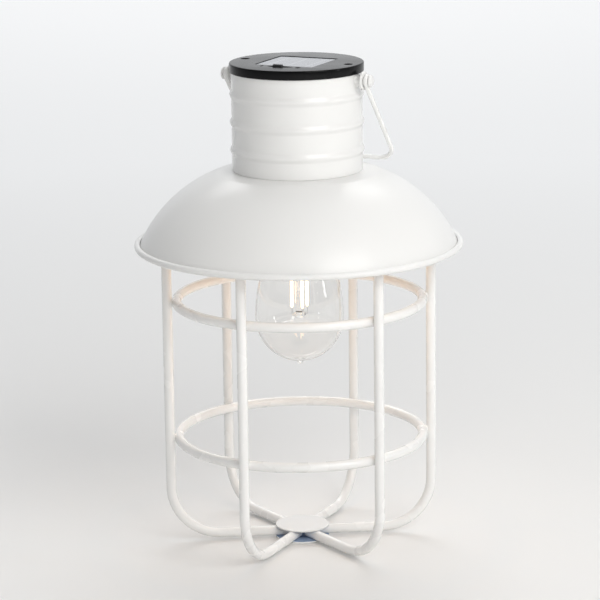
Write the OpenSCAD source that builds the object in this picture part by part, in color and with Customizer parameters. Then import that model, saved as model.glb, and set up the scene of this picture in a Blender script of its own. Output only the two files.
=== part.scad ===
// Solar cage lantern: an enamelled steel shade and can on a cage of six bent rods,
// with a filament-style lamp inside and a screwed-down solar head on top.
// Millimetres. +Z is up, the origin is on the floor at the centre of the cage,
// the carrying bail turns about X and the switch faces -Y.

/* [Overall] */
// Height from the floor to the top of the solar head
overall_h = 318; // [290:1:400]
// Height of the shade, from its lowest edge to the shoulder under the can
shade_h = 50.5; // [44:0.5:62]
// Thickness of the pressed sheet steel
sheet_t = 0.8; // [0.6:0.05:1.2]

/* [Can] */
// Outer diameter of the beaded can
can_d = 84.4; // [80:0.2:104]
// Height of the can between the shade and the solar head
can_h = 64; // [55:0.5:80]
// How far each rolled bead stands out of the can
bead_out = 1.1; // [0.6:0.1:1.6]
// Height of one rolled bead
bead_h = 5; // [3:0.5:7]
// Distance from the shade up to the middle of the lowest bead
bead_first = 13.6; // [10:0.2:18]
// Distance from one bead to the next
bead_pitch = 18; // [12:0.5:18]
// How far the mouth of the can is swaged in under the head's skirt
mouth_step = 0.9; // [0.8:0.1:1.6]

/* [Shade] */
// Outer diameter of the shade over its rolled edge
shade_d = 213.6; // [200:0.2:260]
// Outer diameter of the rolled edge's own section
curl_d = 4.2; // [3.4:0.1:5.4]
// How far round the rolled edge is curled, in degrees
curl_turn = 292; // [270:1:300]
// Radius of the shade's curved wall, inside
shade_arc_r = 88; // [84:1:130]
// Width of the shoulder between the can and the crease
shoulder_w = 10.2; // [6:0.2:14]
// How far the shoulder falls on its way to the crease
shoulder_drop = 1.3; // [0.8:0.1:2]

/* [Cage] */
// Diameter of the bent rods
rod_d = 6.4; // [5:0.1:8]
// Distance of the upright rods' centre lines in from the shade's edge
rod_inset = 20.3; // [14:0.1:26]
// Radius of each rod's lower bend, to its centre line
bend_r = 33; // [26:1:44]
// Diameter of the ring wire
ring_d = 6.4; // [5:0.1:8]
// Height of the lower ring
ring_low_z = 71; // [60:1:90]
// Height of the upper ring
ring_high_z = 162; // [140:1:175]
// Diameter of the two hub plates
hub_d = 35.4; // [30:0.2:44]
// Thickness of each hub plate
hub_t = 1.2; // [0.8:0.1:2]
// How much wider than one rod the radius of the steel slug between the hub plates is
slug_margin = 1.1; // [0.6:0.1:3]

/* [Bail] */
// Diameter of the bail wire
bail_wire_d = 3; // [2.4:0.1:3.6]
// Distance of each wire eye out from the can's side
bail_reach = 7.25; // [6.8:0.05:10]
// Distance of the pivots below the top of the head
bail_drop = 10.1; // [9.5:0.1:12]
// Radius of the bail's two lower corners, to the wire's centre
bail_corner_r = 12; // [6:0.5:18]
// Gap between the hanging bail and the can behind it
bail_can_gap = 1.6; // [0.8:0.1:3]
// Gap between the hanging bail and the shoulder under it
bail_shoulder_gap = 0.9; // [0.4:0.1:2]
// Diameter of the rivet's shank
rivet_d = 3; // [2.6:0.1:3.4]
// Diameter of the rivet's round head
rivet_head_d = 8.1; // [7:0.1:9]
// Diameter of the flange behind the wire eye
ear_flange_d = 12.2; // [10:0.1:12.4]

/* [Solar head] */
// How far the head's skirt stands out past the can
head_lip = 1.1; // [0.9:0.1:3]
// Height of the head's skirt
head_skirt_h = 5.9; // [5:0.1:8]
// Thickness of the head's top plate
head_t = 3.4; // [3.2:0.1:4.4]
// Side of the square solar panel
panel_w = 40; // [34:0.5:42]
// Thickness of the solar panel with its cover
panel_t = 1.9; // [1.7:0.1:2.1]
// Distance of each head screw in from the side of the head's plug
screw_inset = 3.9; // [3.7:0.1:4.5]
// Diameter of the recess that each head screw sits in
screw_recess_d = 6; // [5.6:0.1:6.4]
// Distance of the switch from the axis, towards the front
switch_y = 25; // [24.8:0.1:27]
// Travel of the switch knob
switch_travel = 2.6; // [2:0.1:3]

/* [Lamp] */
// Largest diameter of the lamp's glass
bulb_d = 58; // [50:0.5:64]
// Distance of the glass's widest point below the shoulder
lamp_drop = 98.1; // [93:0.1:108]
// Length of the lamp from the screw cap's end to its lowest point
bulb_len = 140; // [130:1:141]
// Outer diameter of the lamp's screw cap
bulb_cap_d = 26.4; // [25.6:0.1:27]
// Diameter of the circle that the filaments stand on
filament_circle = 10.6; // [9:0.2:12]
// Length of each filament
filament_len = 32; // [28:0.5:38]

/* [Clearances] */
// Gap between pieces that slip over each other
fit_gap = 0.2; // [0.15:0.01:0.3]
// Radial gap of the bail's eye on its rivet
pivot_gap = 0.08; // [0.04:0.01:0.1]
// Gap on each side of the bail's eye and of the switch knob
side_gap = 0.3; // [0.2:0.05:0.4]
// Depth that one welded piece bites into the next
weld_bite = 0.15; // [0.1:0.05:0.3]

/* [Hidden] */
RIBS = 6;

white = "#f4f4f2";
steel = "#b9bcc2";
black = "#1b1c1e";
brass = "#c9a24a";

// Can
can_r = can_d / 2;
skirt_z = overall_h - head_skirt_h;
shoulder_z = skirt_z - can_h;
lid_t = 2;
can_top_z = overall_h - lid_t;
mouth_r = can_r - mouth_step;
mouth_z = skirt_z + 0.3;
can_floor_r = can_r - sheet_t - 4.2;

// Shade: an arc that passes through the crease and touches the curl's outer face
shade_z = shoulder_z - shade_h;
curl_r = curl_d / 2;
curl_c = [shade_d / 2 - curl_r, shade_z + curl_r];
crease = [can_r + shoulder_w, shoulder_z - shoulder_drop - sheet_t];
arc_c = circle_meet(curl_c, shade_arc_r + curl_r, crease, shade_arc_r);
arc_low = atan2(curl_c[1] - arc_c[1], curl_c[0] - arc_c[0]);
arc_high = atan2(crease[1] - arc_c[1], crease[0] - arc_c[0]);
arc_high_out = acos((crease[0] + 0.3 - arc_c[0]) / (shade_arc_r + sheet_t));
ARC_STEPS = 22;
CURL_STEPS = 22;

// Cage: each rod runs level out of the hub, bends up and ends under the shade
cage_r = shade_d / 2 - rod_inset;
shade_slope = atan2(shade_under(cage_r - rod_d / 2) - shade_under(cage_r + rod_d / 2), rod_d);
ring_r = cage_r - (rod_d + ring_d) / 2 + weld_bite;
run_z = hub_t + rod_d / 2;
bend_c = [cage_r - bend_r, run_z + bend_r];
slug_r = rod_d + slug_margin;
run_in = slug_r - weld_bite;
hub_r = hub_d / 2;
hub_ease = 0.3;
hub_top_z = hub_t + rod_d;

// Bail: it hangs back until its bar lies against can and shoulder
bail_half_w = can_r + bail_reach;
pivot_z = overall_h - bail_drop;
bail_wire_r = bail_wire_d / 2;
eye_r = rivet_d / 2 + pivot_gap + bail_wire_r;
bar_y = can_r + bail_can_gap + bail_wire_r;
bar_drop = pivot_z - shoulder_z - bail_shoulder_gap - bail_wire_r;
arm_len = sqrt(bar_y * bar_y + bar_drop * bar_drop - eye_r * eye_r);
arm_lean = atan2(bar_y, bar_drop) + atan2(eye_r, arm_len);
EYE_TURN = 262;
flange_t = 1.5;
flange_out = bail_half_w - bail_wire_r - side_gap;
bush_d = 7.4;
head_in = bail_half_w + bail_wire_r + side_gap;
rivet_head_h = 2;
tail_d = 5.4;
tail_h = 1.2;

// Solar head: a lid that drops into the can's mouth with a skirt round it
head_r = can_r + head_lip;
head_low_z = overall_h - head_t;
edge_ease = 0.8;
skirt_in_r = mouth_r + fit_gap;
plug_r = mouth_r - sheet_t - fit_gap;
pocket_w = panel_w + 2 * fit_gap;
pocket_z = overall_h - panel_t - 0.3;
cell_t = 0.6;
screw_x = plug_r - screw_inset;
screw_r = 1.4;
screw_core_r = 1.2;
screw_head_r = 2.6;
boss_low_z = head_low_z - 2.2;
recess_z = boss_low_z + 1;
screw_boss_r = plug_r - screw_x - 0.2;

// Switch
dish_len = 18.6;
dish_w = 5.6;
dish_arc_r = (dish_len * dish_len + dish_w * dish_w) / (4 * dish_w);
dish_depth = 1.4;
knob_w = 6.6;
knob_d = 2.6;
knob_h = 2.3;
ridge_w = 0.7;
ridge_h = 0.35;
knob_z = overall_h - dish_depth + 0.2;
slot_w = 2.2;
knob_slot = knob_w - 2 + switch_travel + 2 * side_gap;

// Brackets that the head screws pull on
bracket_t = 1.4;
bracket_w = 9;
bracket_in_x = screw_x - 3.4;
leg_in_r = can_r - sheet_t - bracket_t;

// Board and battery tray, hung from three bosses under the head
board_t = 1.6;
board_r = 29;
board_top_z = head_low_z - 7.4;
boss_r = 25;
BOSS_ANGLES = [90, 210, 330];
tray_r = 31.4;
tray_wall = 1.4;
tray_h = 19.5;
tray_top_z = board_top_z - board_t - 1.2;
tray_z = tray_top_z - tray_h;
cover_t = 1.6;
cell_d = 14.2;
cell_len = 50.2;
cell_z = tray_z + cover_t + 0.6 + cell_d / 2;
spring_wire_r = 0.35;
spring_pitch = 0.56;

// Lamp
bulb_r = bulb_d / 2;
bulb_z = shoulder_z - lamp_drop;
glass_t = 0.8;
nub_h = 2.6;
glass_low_z = bulb_z - bulb_r;
cap_h = 25;
cap_top_z = glass_low_z - nub_h + bulb_len;
cap_low_z = cap_top_z - cap_h;
cap_r = bulb_cap_d / 2;
cap_wall = 0.4;
neck_r = cap_r - cap_wall - 0.1;
side_arc_r = 108;
cone_z = bulb_z + bulb_r * 1.3;
cone_r = bulb_r - side_arc_r + sqrt(side_arc_r * side_arc_r - pow(cone_z - bulb_z, 2));
stem_flare_z = cap_low_z - 2;
stem_r = 2.6;
bead_r = 4;
bead_half_h = 2.4;
bead_z = bulb_z + 1.6;
filament_r = 0.9;
filament_low_z = bulb_z + 6.5;
wire_r = 0.25;

// Lamp holder: it drops through the bridge and is held by a nut from below
bridge_z = shoulder_z + sheet_t;
bridge_t = 1.2;
vent_r = 3;
shell_in_r = cap_r + 0.1;
shell_out_r = shell_in_r + 0.5;
holder_r = shell_out_r + 2.6;
vent_out = (holder_r + can_floor_r) / 2 + 2.2;
holder_low_z = cap_low_z - 2;
holder_roof_z = cap_top_z + 2.6;
holder_top_z = holder_roof_z + 2;
nut_h = 5;
terminal_x = 8;

// Leads from the holder's terminals up past the tray and over the board's edge
lead_r = 0.7;
LEAD_ROUTE = [
    [terminal_x, 0, holder_roof_z - 0.5], [terminal_x, 0, holder_top_z + 3], [9, 4, holder_top_z + 8],
    [13, 16, holder_top_z + 12], [16, 26, tray_z - 6], [17.5, 31, tray_z + 4], [18, 32, tray_z + 12],
    [18, 31.6, tray_top_z], [17, 30, board_top_z + 2], [14.5, 25.5, board_top_z + 3],
    [12.2, 21.2, board_top_z + 2], [12, 21, board_top_z + 1], [12, 21, board_top_z + 0.03]
];

// Height of the shade's inner face at radius r
function shade_under(r) = arc_c[1] + sqrt(pow(shade_arc_r, 2) - pow(r - arc_c[0], 2));

// Where a circle round p meets a circle round q
function circle_meet(p, pr, q, qr) =
    let (d = norm(q - p), a = (pr * pr - qr * qr + d * d) / (2 * d),
         h = sqrt(pr * pr - a * a), u = (q - p) / d)
    p + a * u + h * [-u[1], u[0]];

function arc_points(c, r, from, to, steps) =
    [for (i = [0 : steps]) let (t = from + (to - from) * i / steps) c + r * [cos(t), sin(t)]];

// Section of the shade: down the inner face, round the curl and up the outer face
function shade_inside() = arc_points(arc_c, shade_arc_r, arc_high, arc_low, ARC_STEPS);
function shade_outside() = arc_points(arc_c, shade_arc_r + sheet_t, arc_low, arc_high_out, ARC_STEPS);
function curl_outside() = let (step = curl_turn / CURL_STEPS)
    arc_points(curl_c, curl_r, arc_low + 180 + step, arc_low + 180 + curl_turn, CURL_STEPS - 1);
function curl_inside() = let (step = curl_turn / CURL_STEPS)
    arc_points(curl_c, curl_r - sheet_t, arc_low + 180 + curl_turn, arc_low + 180 + step, CURL_STEPS - 1);
function reversed(list) = [for (i = [len(list) - 1 : -1 : 0]) list[i]];

// Outline of the lamp's glass from its lowest point up to the neck, moved in by a wall thickness
function glass_side(inset) = concat(
    arc_points([0, bulb_z], bulb_r - inset, -90, 0, 16),
    [for (i = [1 : 8]) let (z = bulb_z + (cone_z - bulb_z) * i / 8)
        [bulb_r - side_arc_r + sqrt(side_arc_r * side_arc_r - pow(z - bulb_z, 2)) - inset, z]],
    [for (i = [1 : 10]) let (t = i / 10, z = cone_z + (cap_low_z - 4 - cone_z) * t)
        [neck_r + (cone_r - neck_r) * pow(1 - t, 1.75) - inset, z]],
    [[neck_r - inset, cap_low_z + 3]]
);

// A round bar along a path, as rings of flat-sided sections
function sweep_ring(p, along, r, sides) =
    let (w = along / norm(along), s = abs(w[0]) > 0.8 ? [0, 1, 0] : [1, 0, 0],
         u = cross(w, s) / norm(cross(w, s)), v = cross(w, u))
    [for (i = [0 : sides - 1]) p + r * (cos(360 * i / sides) * u + sin(360 * i / sides) * v)];
module sweep_tube(path, r, sides = 8) {
    n = len(path);
    rings = [for (i = [0 : n - 1])
        sweep_ring(path[i], path[min(i + 1, n - 1)] - path[max(i - 1, 0)], r, sides)];
    points = [for (ring = rings) each ring];
    walls = [for (i = [0 : n - 2], j = [0 : sides - 1]) let (k = (j + 1) % sides)
        [i * sides + j, i * sides + k, (i + 1) * sides + k, (i + 1) * sides + j]];
    ends = [[for (j = [0 : sides - 1]) sides - 1 - j], [for (j = [0 : sides - 1]) (n - 1) * sides + j]];
    polyhedron(points, concat(walls, ends));
}

// A plain washer or tube
module tube(outer, inner, h) {
    difference() {
        cylinder(r = outer, h = h, $fn = 72);
        translate([0, 0, -1]) cylinder(r = inner, h = h + 2, $fn = 72);
    }
}

module upright(x, y, z, r, h) {
    translate([x, y, z]) cylinder(r = r, h = h, $fn = 32);
}

// The same thing at each screw boss of the solar head
module at_bosses() {
    for (a = BOSS_ANGLES) rotate([0, 0, a]) translate([boss_r, 0, 0]) children();
}

// The same thing on the right and mirrored to the left
module both_sides() {
    children();
    mirror([1, 0, 0]) children();
}

/* ---- Can and shade ---- */

function bead_arc_r() = (pow(bead_h / 2, 2) + pow(bead_out, 2)) / (2 * bead_out);
function bead_half() = asin(bead_h / 2 / bead_arc_r());
module bead_outline(z, r) {
    polygon(concat(
        arc_points([r + bead_out - bead_arc_r(), z], bead_arc_r(), -bead_half(), bead_half(), 8),
        [[r - 0.5, z + bead_h / 2], [r - 0.5, z - bead_h / 2]]
    ));
}

// The can filled solid, moved in by a wall thickness
module can_solid(inset, low_z, top_z) {
    rotate_extrude($fn = 120) {
        polygon([[0, low_z], [can_r - inset, low_z], [can_r - inset, mouth_z],
                 [mouth_r - inset, mouth_z + mouth_step], [mouth_r - inset, top_z], [0, top_z]]);
        for (i = [0 : 2]) bead_outline(shoulder_z + bead_first + i * bead_pitch, can_r - inset);
    }
}

// Holes for the two bail rivets
module rivet_holes() {
    both_sides() translate([0, 0, pivot_z]) rotate([0, 90, 0])
        cylinder(d = rivet_d, h = can_r + 2, $fn = 32);
}

module neck_can() color(white) difference() {
    can_solid(0, shoulder_z, can_top_z);
    can_solid(sheet_t, shoulder_z + sheet_t, can_top_z + 1);
    translate([0, 0, shoulder_z - 1]) cylinder(r = can_floor_r, h = 4, $fn = 96);
    rivet_holes();
}

module dome_shade() color(white) rotate_extrude($fn = 144) polygon(concat(
    [[can_floor_r, shoulder_z], [can_floor_r, shoulder_z - sheet_t], [can_r, shoulder_z - sheet_t]],
    shade_inside(), curl_outside(), curl_inside(), shade_outside(),
    [[can_r, shoulder_z]]
));

/* ---- Cage ---- */

module ring_at(z) color(white) translate([0, 0, z]) rotate_extrude($fn = 96)
    translate([ring_r, 0]) circle(d = ring_d, $fn = 32);
module upper_ring() ring_at(ring_high_z);
module lower_ring() ring_at(ring_low_z);

// Rib i stands 30 degrees past the bail's axis, and each next one 60 degrees on.
// Its top end is cut to the slope of the shade that it is welded under.
module rib(i) color(white) rotate([0, 0, 30 + 360 / RIBS * i]) difference() {
    union() {
        upright(cage_r, 0, bend_c[1], rod_d / 2, shoulder_z - bend_c[1]);
        translate([bend_c[0], 0, bend_c[1]]) rotate([90, 0, 0]) rotate([0, 0, -90])
            rotate_extrude(angle = 90, $fn = 96) translate([bend_r, 0]) circle(d = rod_d, $fn = 32);
        translate([run_in, 0, run_z]) rotate([0, 90, 0])
            cylinder(d = rod_d, h = bend_c[0] - run_in, $fn = 32);
    }
    translate([cage_r, 0, shade_under(cage_r) + weld_bite]) rotate([0, shade_slope, 0])
        translate([-50, -50, 0]) cube([100, 100, 100]);
}
module rib_1() rib(0);
module rib_2() rib(1);
module rib_3() rib(2);
module rib_4() rib(3);
module rib_5() rib(4);
module rib_6() rib(5);

// Hub plate with its pressed edge rounded over
module hub_plate(z) color(white) translate([0, 0, z]) rotate_extrude($fn = 96)
    polygon([[0, 0], [hub_r - hub_ease, 0], [hub_r, hub_ease], [hub_r, hub_t - hub_ease],
             [hub_r - hub_ease, hub_t], [0, hub_t]]);
module hub_plate_top() hub_plate(hub_top_z);
module hub_plate_bottom() hub_plate(0);
module hub_slug() color(steel) upright(0, 0, hub_t, slug_r, hub_top_z - hub_t);

/* ---- Bail ---- */

// Bush that carries the bail clear of the can, with a flange behind the wire eye
module ear_bush() color(white) translate([0, 0, pivot_z]) rotate([0, 90, 0]) difference() {
    union() {
        translate([0, 0, can_r - 2])
            cylinder(d = bush_d, h = flange_out - flange_t - can_r + 2.5, $fn = 48);
        translate([0, 0, flange_out - flange_t]) cylinder(d = ear_flange_d, h = flange_t, $fn = 64);
    }
    rotate([0, 90, 0]) translate([0, 0, -20]) cylinder(r = can_r, h = 40, $fn = 120);
    cylinder(d = rivet_d, h = flange_out + 5, $fn = 32);
}
module ear_bush_right() ear_bush();
module ear_bush_left() mirror([1, 0, 0]) ear_bush();

// Rivet through bush, can wall and head bracket, with a low round head outside
module bail_rivet() color(white) {
    translate([0, 0, pivot_z]) rotate([0, 90, 0]) {
        translate([0, 0, leg_in_r - 1]) cylinder(d = rivet_d, h = head_in - leg_in_r + 1.5, $fn = 32);
        translate([0, 0, head_in]) rotate_extrude($fn = 64) polygon(concat(
            [[0, 0], [rivet_head_d / 2, 0]],
            [for (i = [0 : 6]) [rivet_head_d / 2 - 1.6 * (1 - cos(15 * i)), 0.5 + 1.1 * sin(15 * i)]],
            [[0, rivet_head_h]]
        ));
    }
    intersection() {
        translate([leg_in_r - tail_h, 0, pivot_z]) rotate([0, 90, 0]) cylinder(d = tail_d, h = 4, $fn = 48);
        translate([0, 0, pivot_z - 10]) cylinder(r = leg_in_r, h = 20, $fn = 96);
    }
}
module bail_rivet_right() bail_rivet();
module bail_rivet_left() mirror([1, 0, 0]) bail_rivet();

// One side of the bail in its own plane: wire eye, arm and corner
module bail_side() {
    translate([bail_half_w, 0, 0]) rotate([0, 90, 0]) rotate([0, 0, -90])
        rotate_extrude(angle = -EYE_TURN, $fn = 64) translate([eye_r, 0]) circle(r = bail_wire_r, $fn = 24);
    translate([0, -eye_r, 0]) {
        upright(bail_half_w, 0, bail_corner_r - arm_len, bail_wire_r, arm_len - bail_corner_r);
        translate([bail_half_w - bail_corner_r, 0, bail_corner_r - arm_len]) rotate([90, 0, 0])
            rotate([0, 0, -90]) rotate_extrude(angle = 90, $fn = 64)
                translate([bail_corner_r, 0]) circle(r = bail_wire_r, $fn = 24);
    }
}
module bail_handle() color(white) translate([0, 0, pivot_z]) rotate([arm_lean, 0, 0]) {
    both_sides() bail_side();
    translate([bail_corner_r - bail_half_w, -eye_r, -arm_len]) rotate([0, 90, 0])
        cylinder(r = bail_wire_r, h = 2 * (bail_half_w - bail_corner_r), $fn = 24);
}

/* ---- Lamp holder ---- */

module lamp_bridge() color(steel) translate([0, 0, bridge_z]) difference() {
    cylinder(r = can_r - sheet_t - fit_gap, h = bridge_t, $fn = 96);
    translate([0, 0, -1]) cylinder(r = holder_r + fit_gap, h = bridge_t + 2, $fn = 64);
    for (i = [0 : 5]) rotate([0, 0, 60 * i]) translate([vent_out, 0, -1])
        cylinder(r = vent_r, h = bridge_t + 2, $fn = 32);
}

module lamp_holder() color(black) difference() {
    union() {
        translate([0, 0, holder_low_z]) cylinder(r = holder_r, h = holder_top_z - holder_low_z, $fn = 72);
        translate([0, 0, bridge_z + bridge_t]) cylinder(r = holder_r + 3.4, h = 2, $fn = 72);
    }
    translate([0, 0, holder_low_z - 1])
        cylinder(r = shell_out_r, h = holder_roof_z - holder_low_z + 1, $fn = 72);
    for (s = [-1, 1]) upright(s * terminal_x, 0, holder_roof_z - 1, lead_r, 10);
}

module holder_nut() color(black) translate([0, 0, bridge_z - nut_h]) difference() {
    cylinder(r = holder_r + 4.6, h = nut_h, $fn = 72);
    translate([0, 0, -1]) cylinder(r = holder_r, h = nut_h + 2, $fn = 72);
    for (i = [0 : 11]) rotate([0, 0, 30 * i]) translate([holder_r + 5.4, 0, -1])
        cylinder(r = 1.6, h = nut_h + 2, $fn = 24);
}

module socket_shell() color(brass) translate([0, 0, cap_low_z + 2]) difference() {
    cylinder(r = shell_out_r, h = cap_h - 8, $fn = 72);
    translate([0, 0, -1]) cylinder(r = shell_in_r, h = cap_h, $fn = 72);
}

// Spring strip that presses on the lamp's end contact
module socket_tongue() color(brass) translate([-3, 0, cap_top_z + 0.1]) {
    translate([0, -2, 0]) cube([9, 4, 0.5]);
    translate([8.5, -2, 0]) cube([0.5, 4, holder_roof_z - cap_top_z - 0.1]);
}

/* ---- Lamp ---- */

module bulb_cap() color(brass) rotate_extrude($fn = 72) polygon([
    [cap_r - cap_wall, cap_low_z], [cap_r, cap_low_z], [cap_r, cap_top_z - 6], [5.2, cap_top_z - 2],
    [4.8, cap_top_z - 2], [4.8, cap_top_z - 2.4], [cap_r - cap_wall, cap_top_z - 6.4]
]);

// Dark insulator with the tinned contact in its middle
module bulb_end_contact() color(black) {
    upright(0, 0, cap_top_z - 2.4, 4.8, 1.6);
    upright(0, 0, cap_top_z - 0.8, 3, 0.8);
}

module bulb_glass() color([0.9, 0.94, 0.96, 0.35]) rotate_extrude($fn = 96) {
    polygon(concat(glass_side(0), reversed(glass_side(glass_t))));
    polygon([[0, glass_low_z - nub_h], [1.1, glass_low_z - nub_h + 0.3], [2.1, glass_low_z - 1.2],
             [2.7, glass_low_z + 0.3], [0, glass_low_z + 0.3]]);
}

// Glass stem: a flare sealed to the neck, a thin tube and the bead that carries the filaments
module bulb_stem() color([0.9, 0.94, 0.96, 0.35]) rotate_extrude($fn = 48) {
    polygon([[0, stem_flare_z + 3], [0, bead_z - 1], [stem_r, bead_z - 1], [stem_r, stem_flare_z - 22],
             [stem_r + 1.4, stem_flare_z - 12], [neck_r - glass_t, stem_flare_z],
             [neck_r - glass_t, stem_flare_z + 1], [stem_r, stem_flare_z - 8]]);
    intersection() {
        translate([0, bead_z]) bead_section();
        translate([0, bead_z - 10]) square([20, 20]);
    }
}
module bead_section() {
    polygon(concat([[0, -bead_half_h]], [for (i = [1 : 11]) let (a = -90 + 15 * i)
        [bead_r * cos(a), bead_half_h * sin(a)]], [[0, bead_half_h]]));
}

module filament_at(i) {
    rotate([0, 0, 45 + 90 * i]) translate([filament_circle / 2, 0, 0]) children();
}
module bulb_filaments() color("#ffdf9a") for (i = [0 : 3]) filament_at(i)
    upright(0, 0, filament_low_z, filament_r, filament_len);

module filament_wires() color(steel) for (i = [0 : 3]) filament_at(i) {
    upright(0, 0, bead_z, wire_r, filament_low_z - bead_z);
    upright(0, 0, filament_low_z + filament_len, wire_r, 8);
    translate([-filament_circle / 2 + bead_r - 1, 0, bead_z]) rotate([0, 90, 0])
        cylinder(r = wire_r, h = filament_circle / 2 - bead_r + 1 + wire_r, $fn = 16);
    translate([-filament_circle / 2 + stem_r - 0.5, 0, filament_low_z + filament_len + 8])
        rotate([0, 90, 0]) cylinder(r = wire_r, h = filament_circle / 2 - stem_r + 0.5 + wire_r, $fn = 16);
}

/* ---- Solar head ---- */

// Lens-shaped dish that the switch knob stands in
module dish_outline() {
    intersection_for (s = [-1, 1])
        translate([0, -switch_y + s * (dish_arc_r - dish_w / 2)]) circle(r = dish_arc_r, $fn = 120);
}

module solar_head() color(black) difference() {
    union() {
        rotate_extrude($fn = 144) polygon([
            [0, head_low_z], [plug_r, head_low_z], [plug_r, can_top_z], [skirt_in_r, can_top_z],
            [skirt_in_r, mouth_z + mouth_step + fit_gap], [can_r + fit_gap, skirt_z + 0.3],
            [can_r + fit_gap, skirt_z], [head_r - 0.3, skirt_z], [head_r, skirt_z + 0.3],
            [head_r, overall_h - edge_ease], [head_r - 0.35 * edge_ease, overall_h - 0.35 * edge_ease],
            [head_r - edge_ease, overall_h], [0, overall_h]
        ]);
        both_sides() upright(screw_x, 0, boss_low_z, screw_boss_r, head_low_z - boss_low_z + 1);
        at_bosses() upright(0, 0, board_top_z, 3, head_low_z - board_top_z + 0.5);
    }
    translate([-pocket_w / 2, -pocket_w / 2, pocket_z]) cube([pocket_w, pocket_w, 10]);
    translate([0, 0, overall_h - dish_depth]) linear_extrude(5) dish_outline();
    translate([-knob_slot / 2, -switch_y - slot_w / 2, head_low_z - 1]) cube([knob_slot, slot_w, 10]);
    both_sides() {
        upright(screw_x, 0, recess_z, screw_recess_d / 2, 20);
        upright(screw_x, 0, boss_low_z - 1, screw_r + fit_gap, 10);
    }
    at_bosses() upright(0, 0, board_top_z - 1, screw_core_r, 6.5);
}

module solar_cell() color("#3a4256") translate([-panel_w / 2 + 0.6, -panel_w / 2 + 0.6, pocket_z])
    cube([panel_w - 1.2, panel_w - 1.2, cell_t]);

module panel_cover() color([0.8, 0.84, 0.88, 0.35])
    translate([-panel_w / 2, -panel_w / 2, pocket_z + cell_t]) cube([panel_w, panel_w, panel_t - cell_t]);

module head_screws() color(steel) both_sides() difference() {
    union() {
        upright(screw_x, 0, boss_low_z - 3.4, screw_r, recess_z - boss_low_z + 3.4);
        upright(screw_x, 0, recess_z, screw_head_r, 1.7);
    }
    translate([screw_x, 0, recess_z + 0.8]) for (a = [0, 90]) rotate([0, 0, a])
        translate([-1.5, -0.3, 0]) cube([3, 0.6, 2]);
}

// Tab under each head screw, on a leg that the bail rivet clamps to the can
module head_bracket() color(steel) difference() {
    union() {
        intersection() {
            translate([bracket_in_x, -bracket_w / 2, boss_low_z - bracket_t])
                cube([12, bracket_w, bracket_t]);
            translate([0, 0, boss_low_z - 20]) cylinder(r = can_r - sheet_t, h = 40, $fn = 120);
        }
        intersection() {
            translate([30, -bracket_w / 2, pivot_z - 6]) cube([15, bracket_w, boss_low_z - pivot_z + 6]);
            translate([0, 0, pivot_z - 10]) tube(can_r - sheet_t, leg_in_r, 30);
        }
    }
    rivet_holes();
    upright(screw_x, 0, boss_low_z - 10, screw_r, 20);
}
module head_bracket_right() head_bracket();
module head_bracket_left() mirror([1, 0, 0]) head_bracket();

/* ---- Switch ---- */

// The knob stands at its ON end
module switch_knob() color("#2b2c2f") translate([-switch_travel / 2, -switch_y, 0]) {
    translate([-knob_w / 2, -knob_d / 2, knob_z]) cube([knob_w, knob_d, knob_h]);
    for (i = [-1 : 1]) translate([i * knob_w * 0.29 - ridge_w / 2, -knob_d / 2, knob_z + knob_h - 0.05])
        cube([ridge_w, knob_d, ridge_h + 0.05]);
    translate([-knob_w / 2 + 1, -slot_w / 2 + side_gap, head_low_z - 1.2])
        cube([knob_w - 2, slot_w - 2 * side_gap, knob_z - head_low_z + 1.7]);
}

module switch_body() color("#c8c9cc") difference() {
    translate([-7, -switch_y - 3, board_top_z]) cube([14, 6, head_low_z - board_top_z]);
    translate([-knob_slot / 2, -switch_y - slot_w / 2, head_low_z - 1.2 - side_gap])
        cube([knob_slot, slot_w, 10]);
}

/* ---- Electronics and battery ---- */

module circuit_board() color("#2f6b3c") difference() {
    translate([0, 0, board_top_z - board_t]) cylinder(r = board_r, h = board_t, $fn = 96);
    at_bosses() upright(0, 0, board_top_z - board_t - 1, screw_r + fit_gap, board_t + 2);
}

module board_parts() color("#26282b") {
    upright(9, 6, board_top_z, 3.4, 4.6);
    translate([-12, 2, board_top_z]) cube([6, 5, 1.6]);
    translate([-2, -13, board_top_z]) cube([5, 2.6, 1]);
    upright(-4, 14, board_top_z, 2.2, 5);
}

module battery_tray() color(black) difference() {
    union() {
        difference() {
            translate([0, 0, tray_z]) cylinder(r = tray_r, h = tray_h, $fn = 96);
            translate([0, 0, tray_z - 1])
                cylinder(r = tray_r - tray_wall, h = tray_h - tray_wall + 1, $fn = 96);
        }
        at_bosses() upright(0, 0, tray_top_z, 3, board_top_z - board_t - tray_top_z);
        for (s = [-1, 1]) translate([s * (cell_len / 2 + 2.4) - 0.5, -5, tray_z + cover_t + 0.4])
            cube([1, 10, tray_top_z - tray_z - cover_t - 1]);
    }
    at_bosses() upright(0, 0, tray_top_z - 5, screw_r + fit_gap, 10);
}

module tray_screws() color(steel) at_bosses() {
    upright(0, 0, tray_top_z - tray_wall, screw_core_r, board_top_z + 5 - tray_top_z + tray_wall);
    upright(0, 0, tray_top_z - tray_wall - 1.6, screw_head_r, 1.6);
}

module battery_cell() color("#9aa3ad") translate([0, 0, cell_z]) rotate([0, 90, 0]) {
    translate([0, 0, -cell_len / 2]) cylinder(d = cell_d, h = cell_len - 1, $fn = 72);
    translate([0, 0, cell_len / 2 - 1]) cylinder(d = 5.4, h = 1, $fn = 32);
}

// Coil spring at the cell's flat end, as rings of wire that touch
module battery_spring() color(steel) translate([-cell_len / 2, 0, cell_z]) rotate([0, -90, 0])
    for (i = [0 : 2]) translate([0, 0, spring_wire_r + 0.05 + spring_pitch * i]) rotate_extrude($fn = 48)
        translate([2.4 + 0.3 * i, 0]) circle(r = spring_wire_r, $fn = 16);

module battery_plate() color(steel) translate([cell_len / 2, -4, cell_z - 5]) cube([0.5, 8, 10]);

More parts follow.
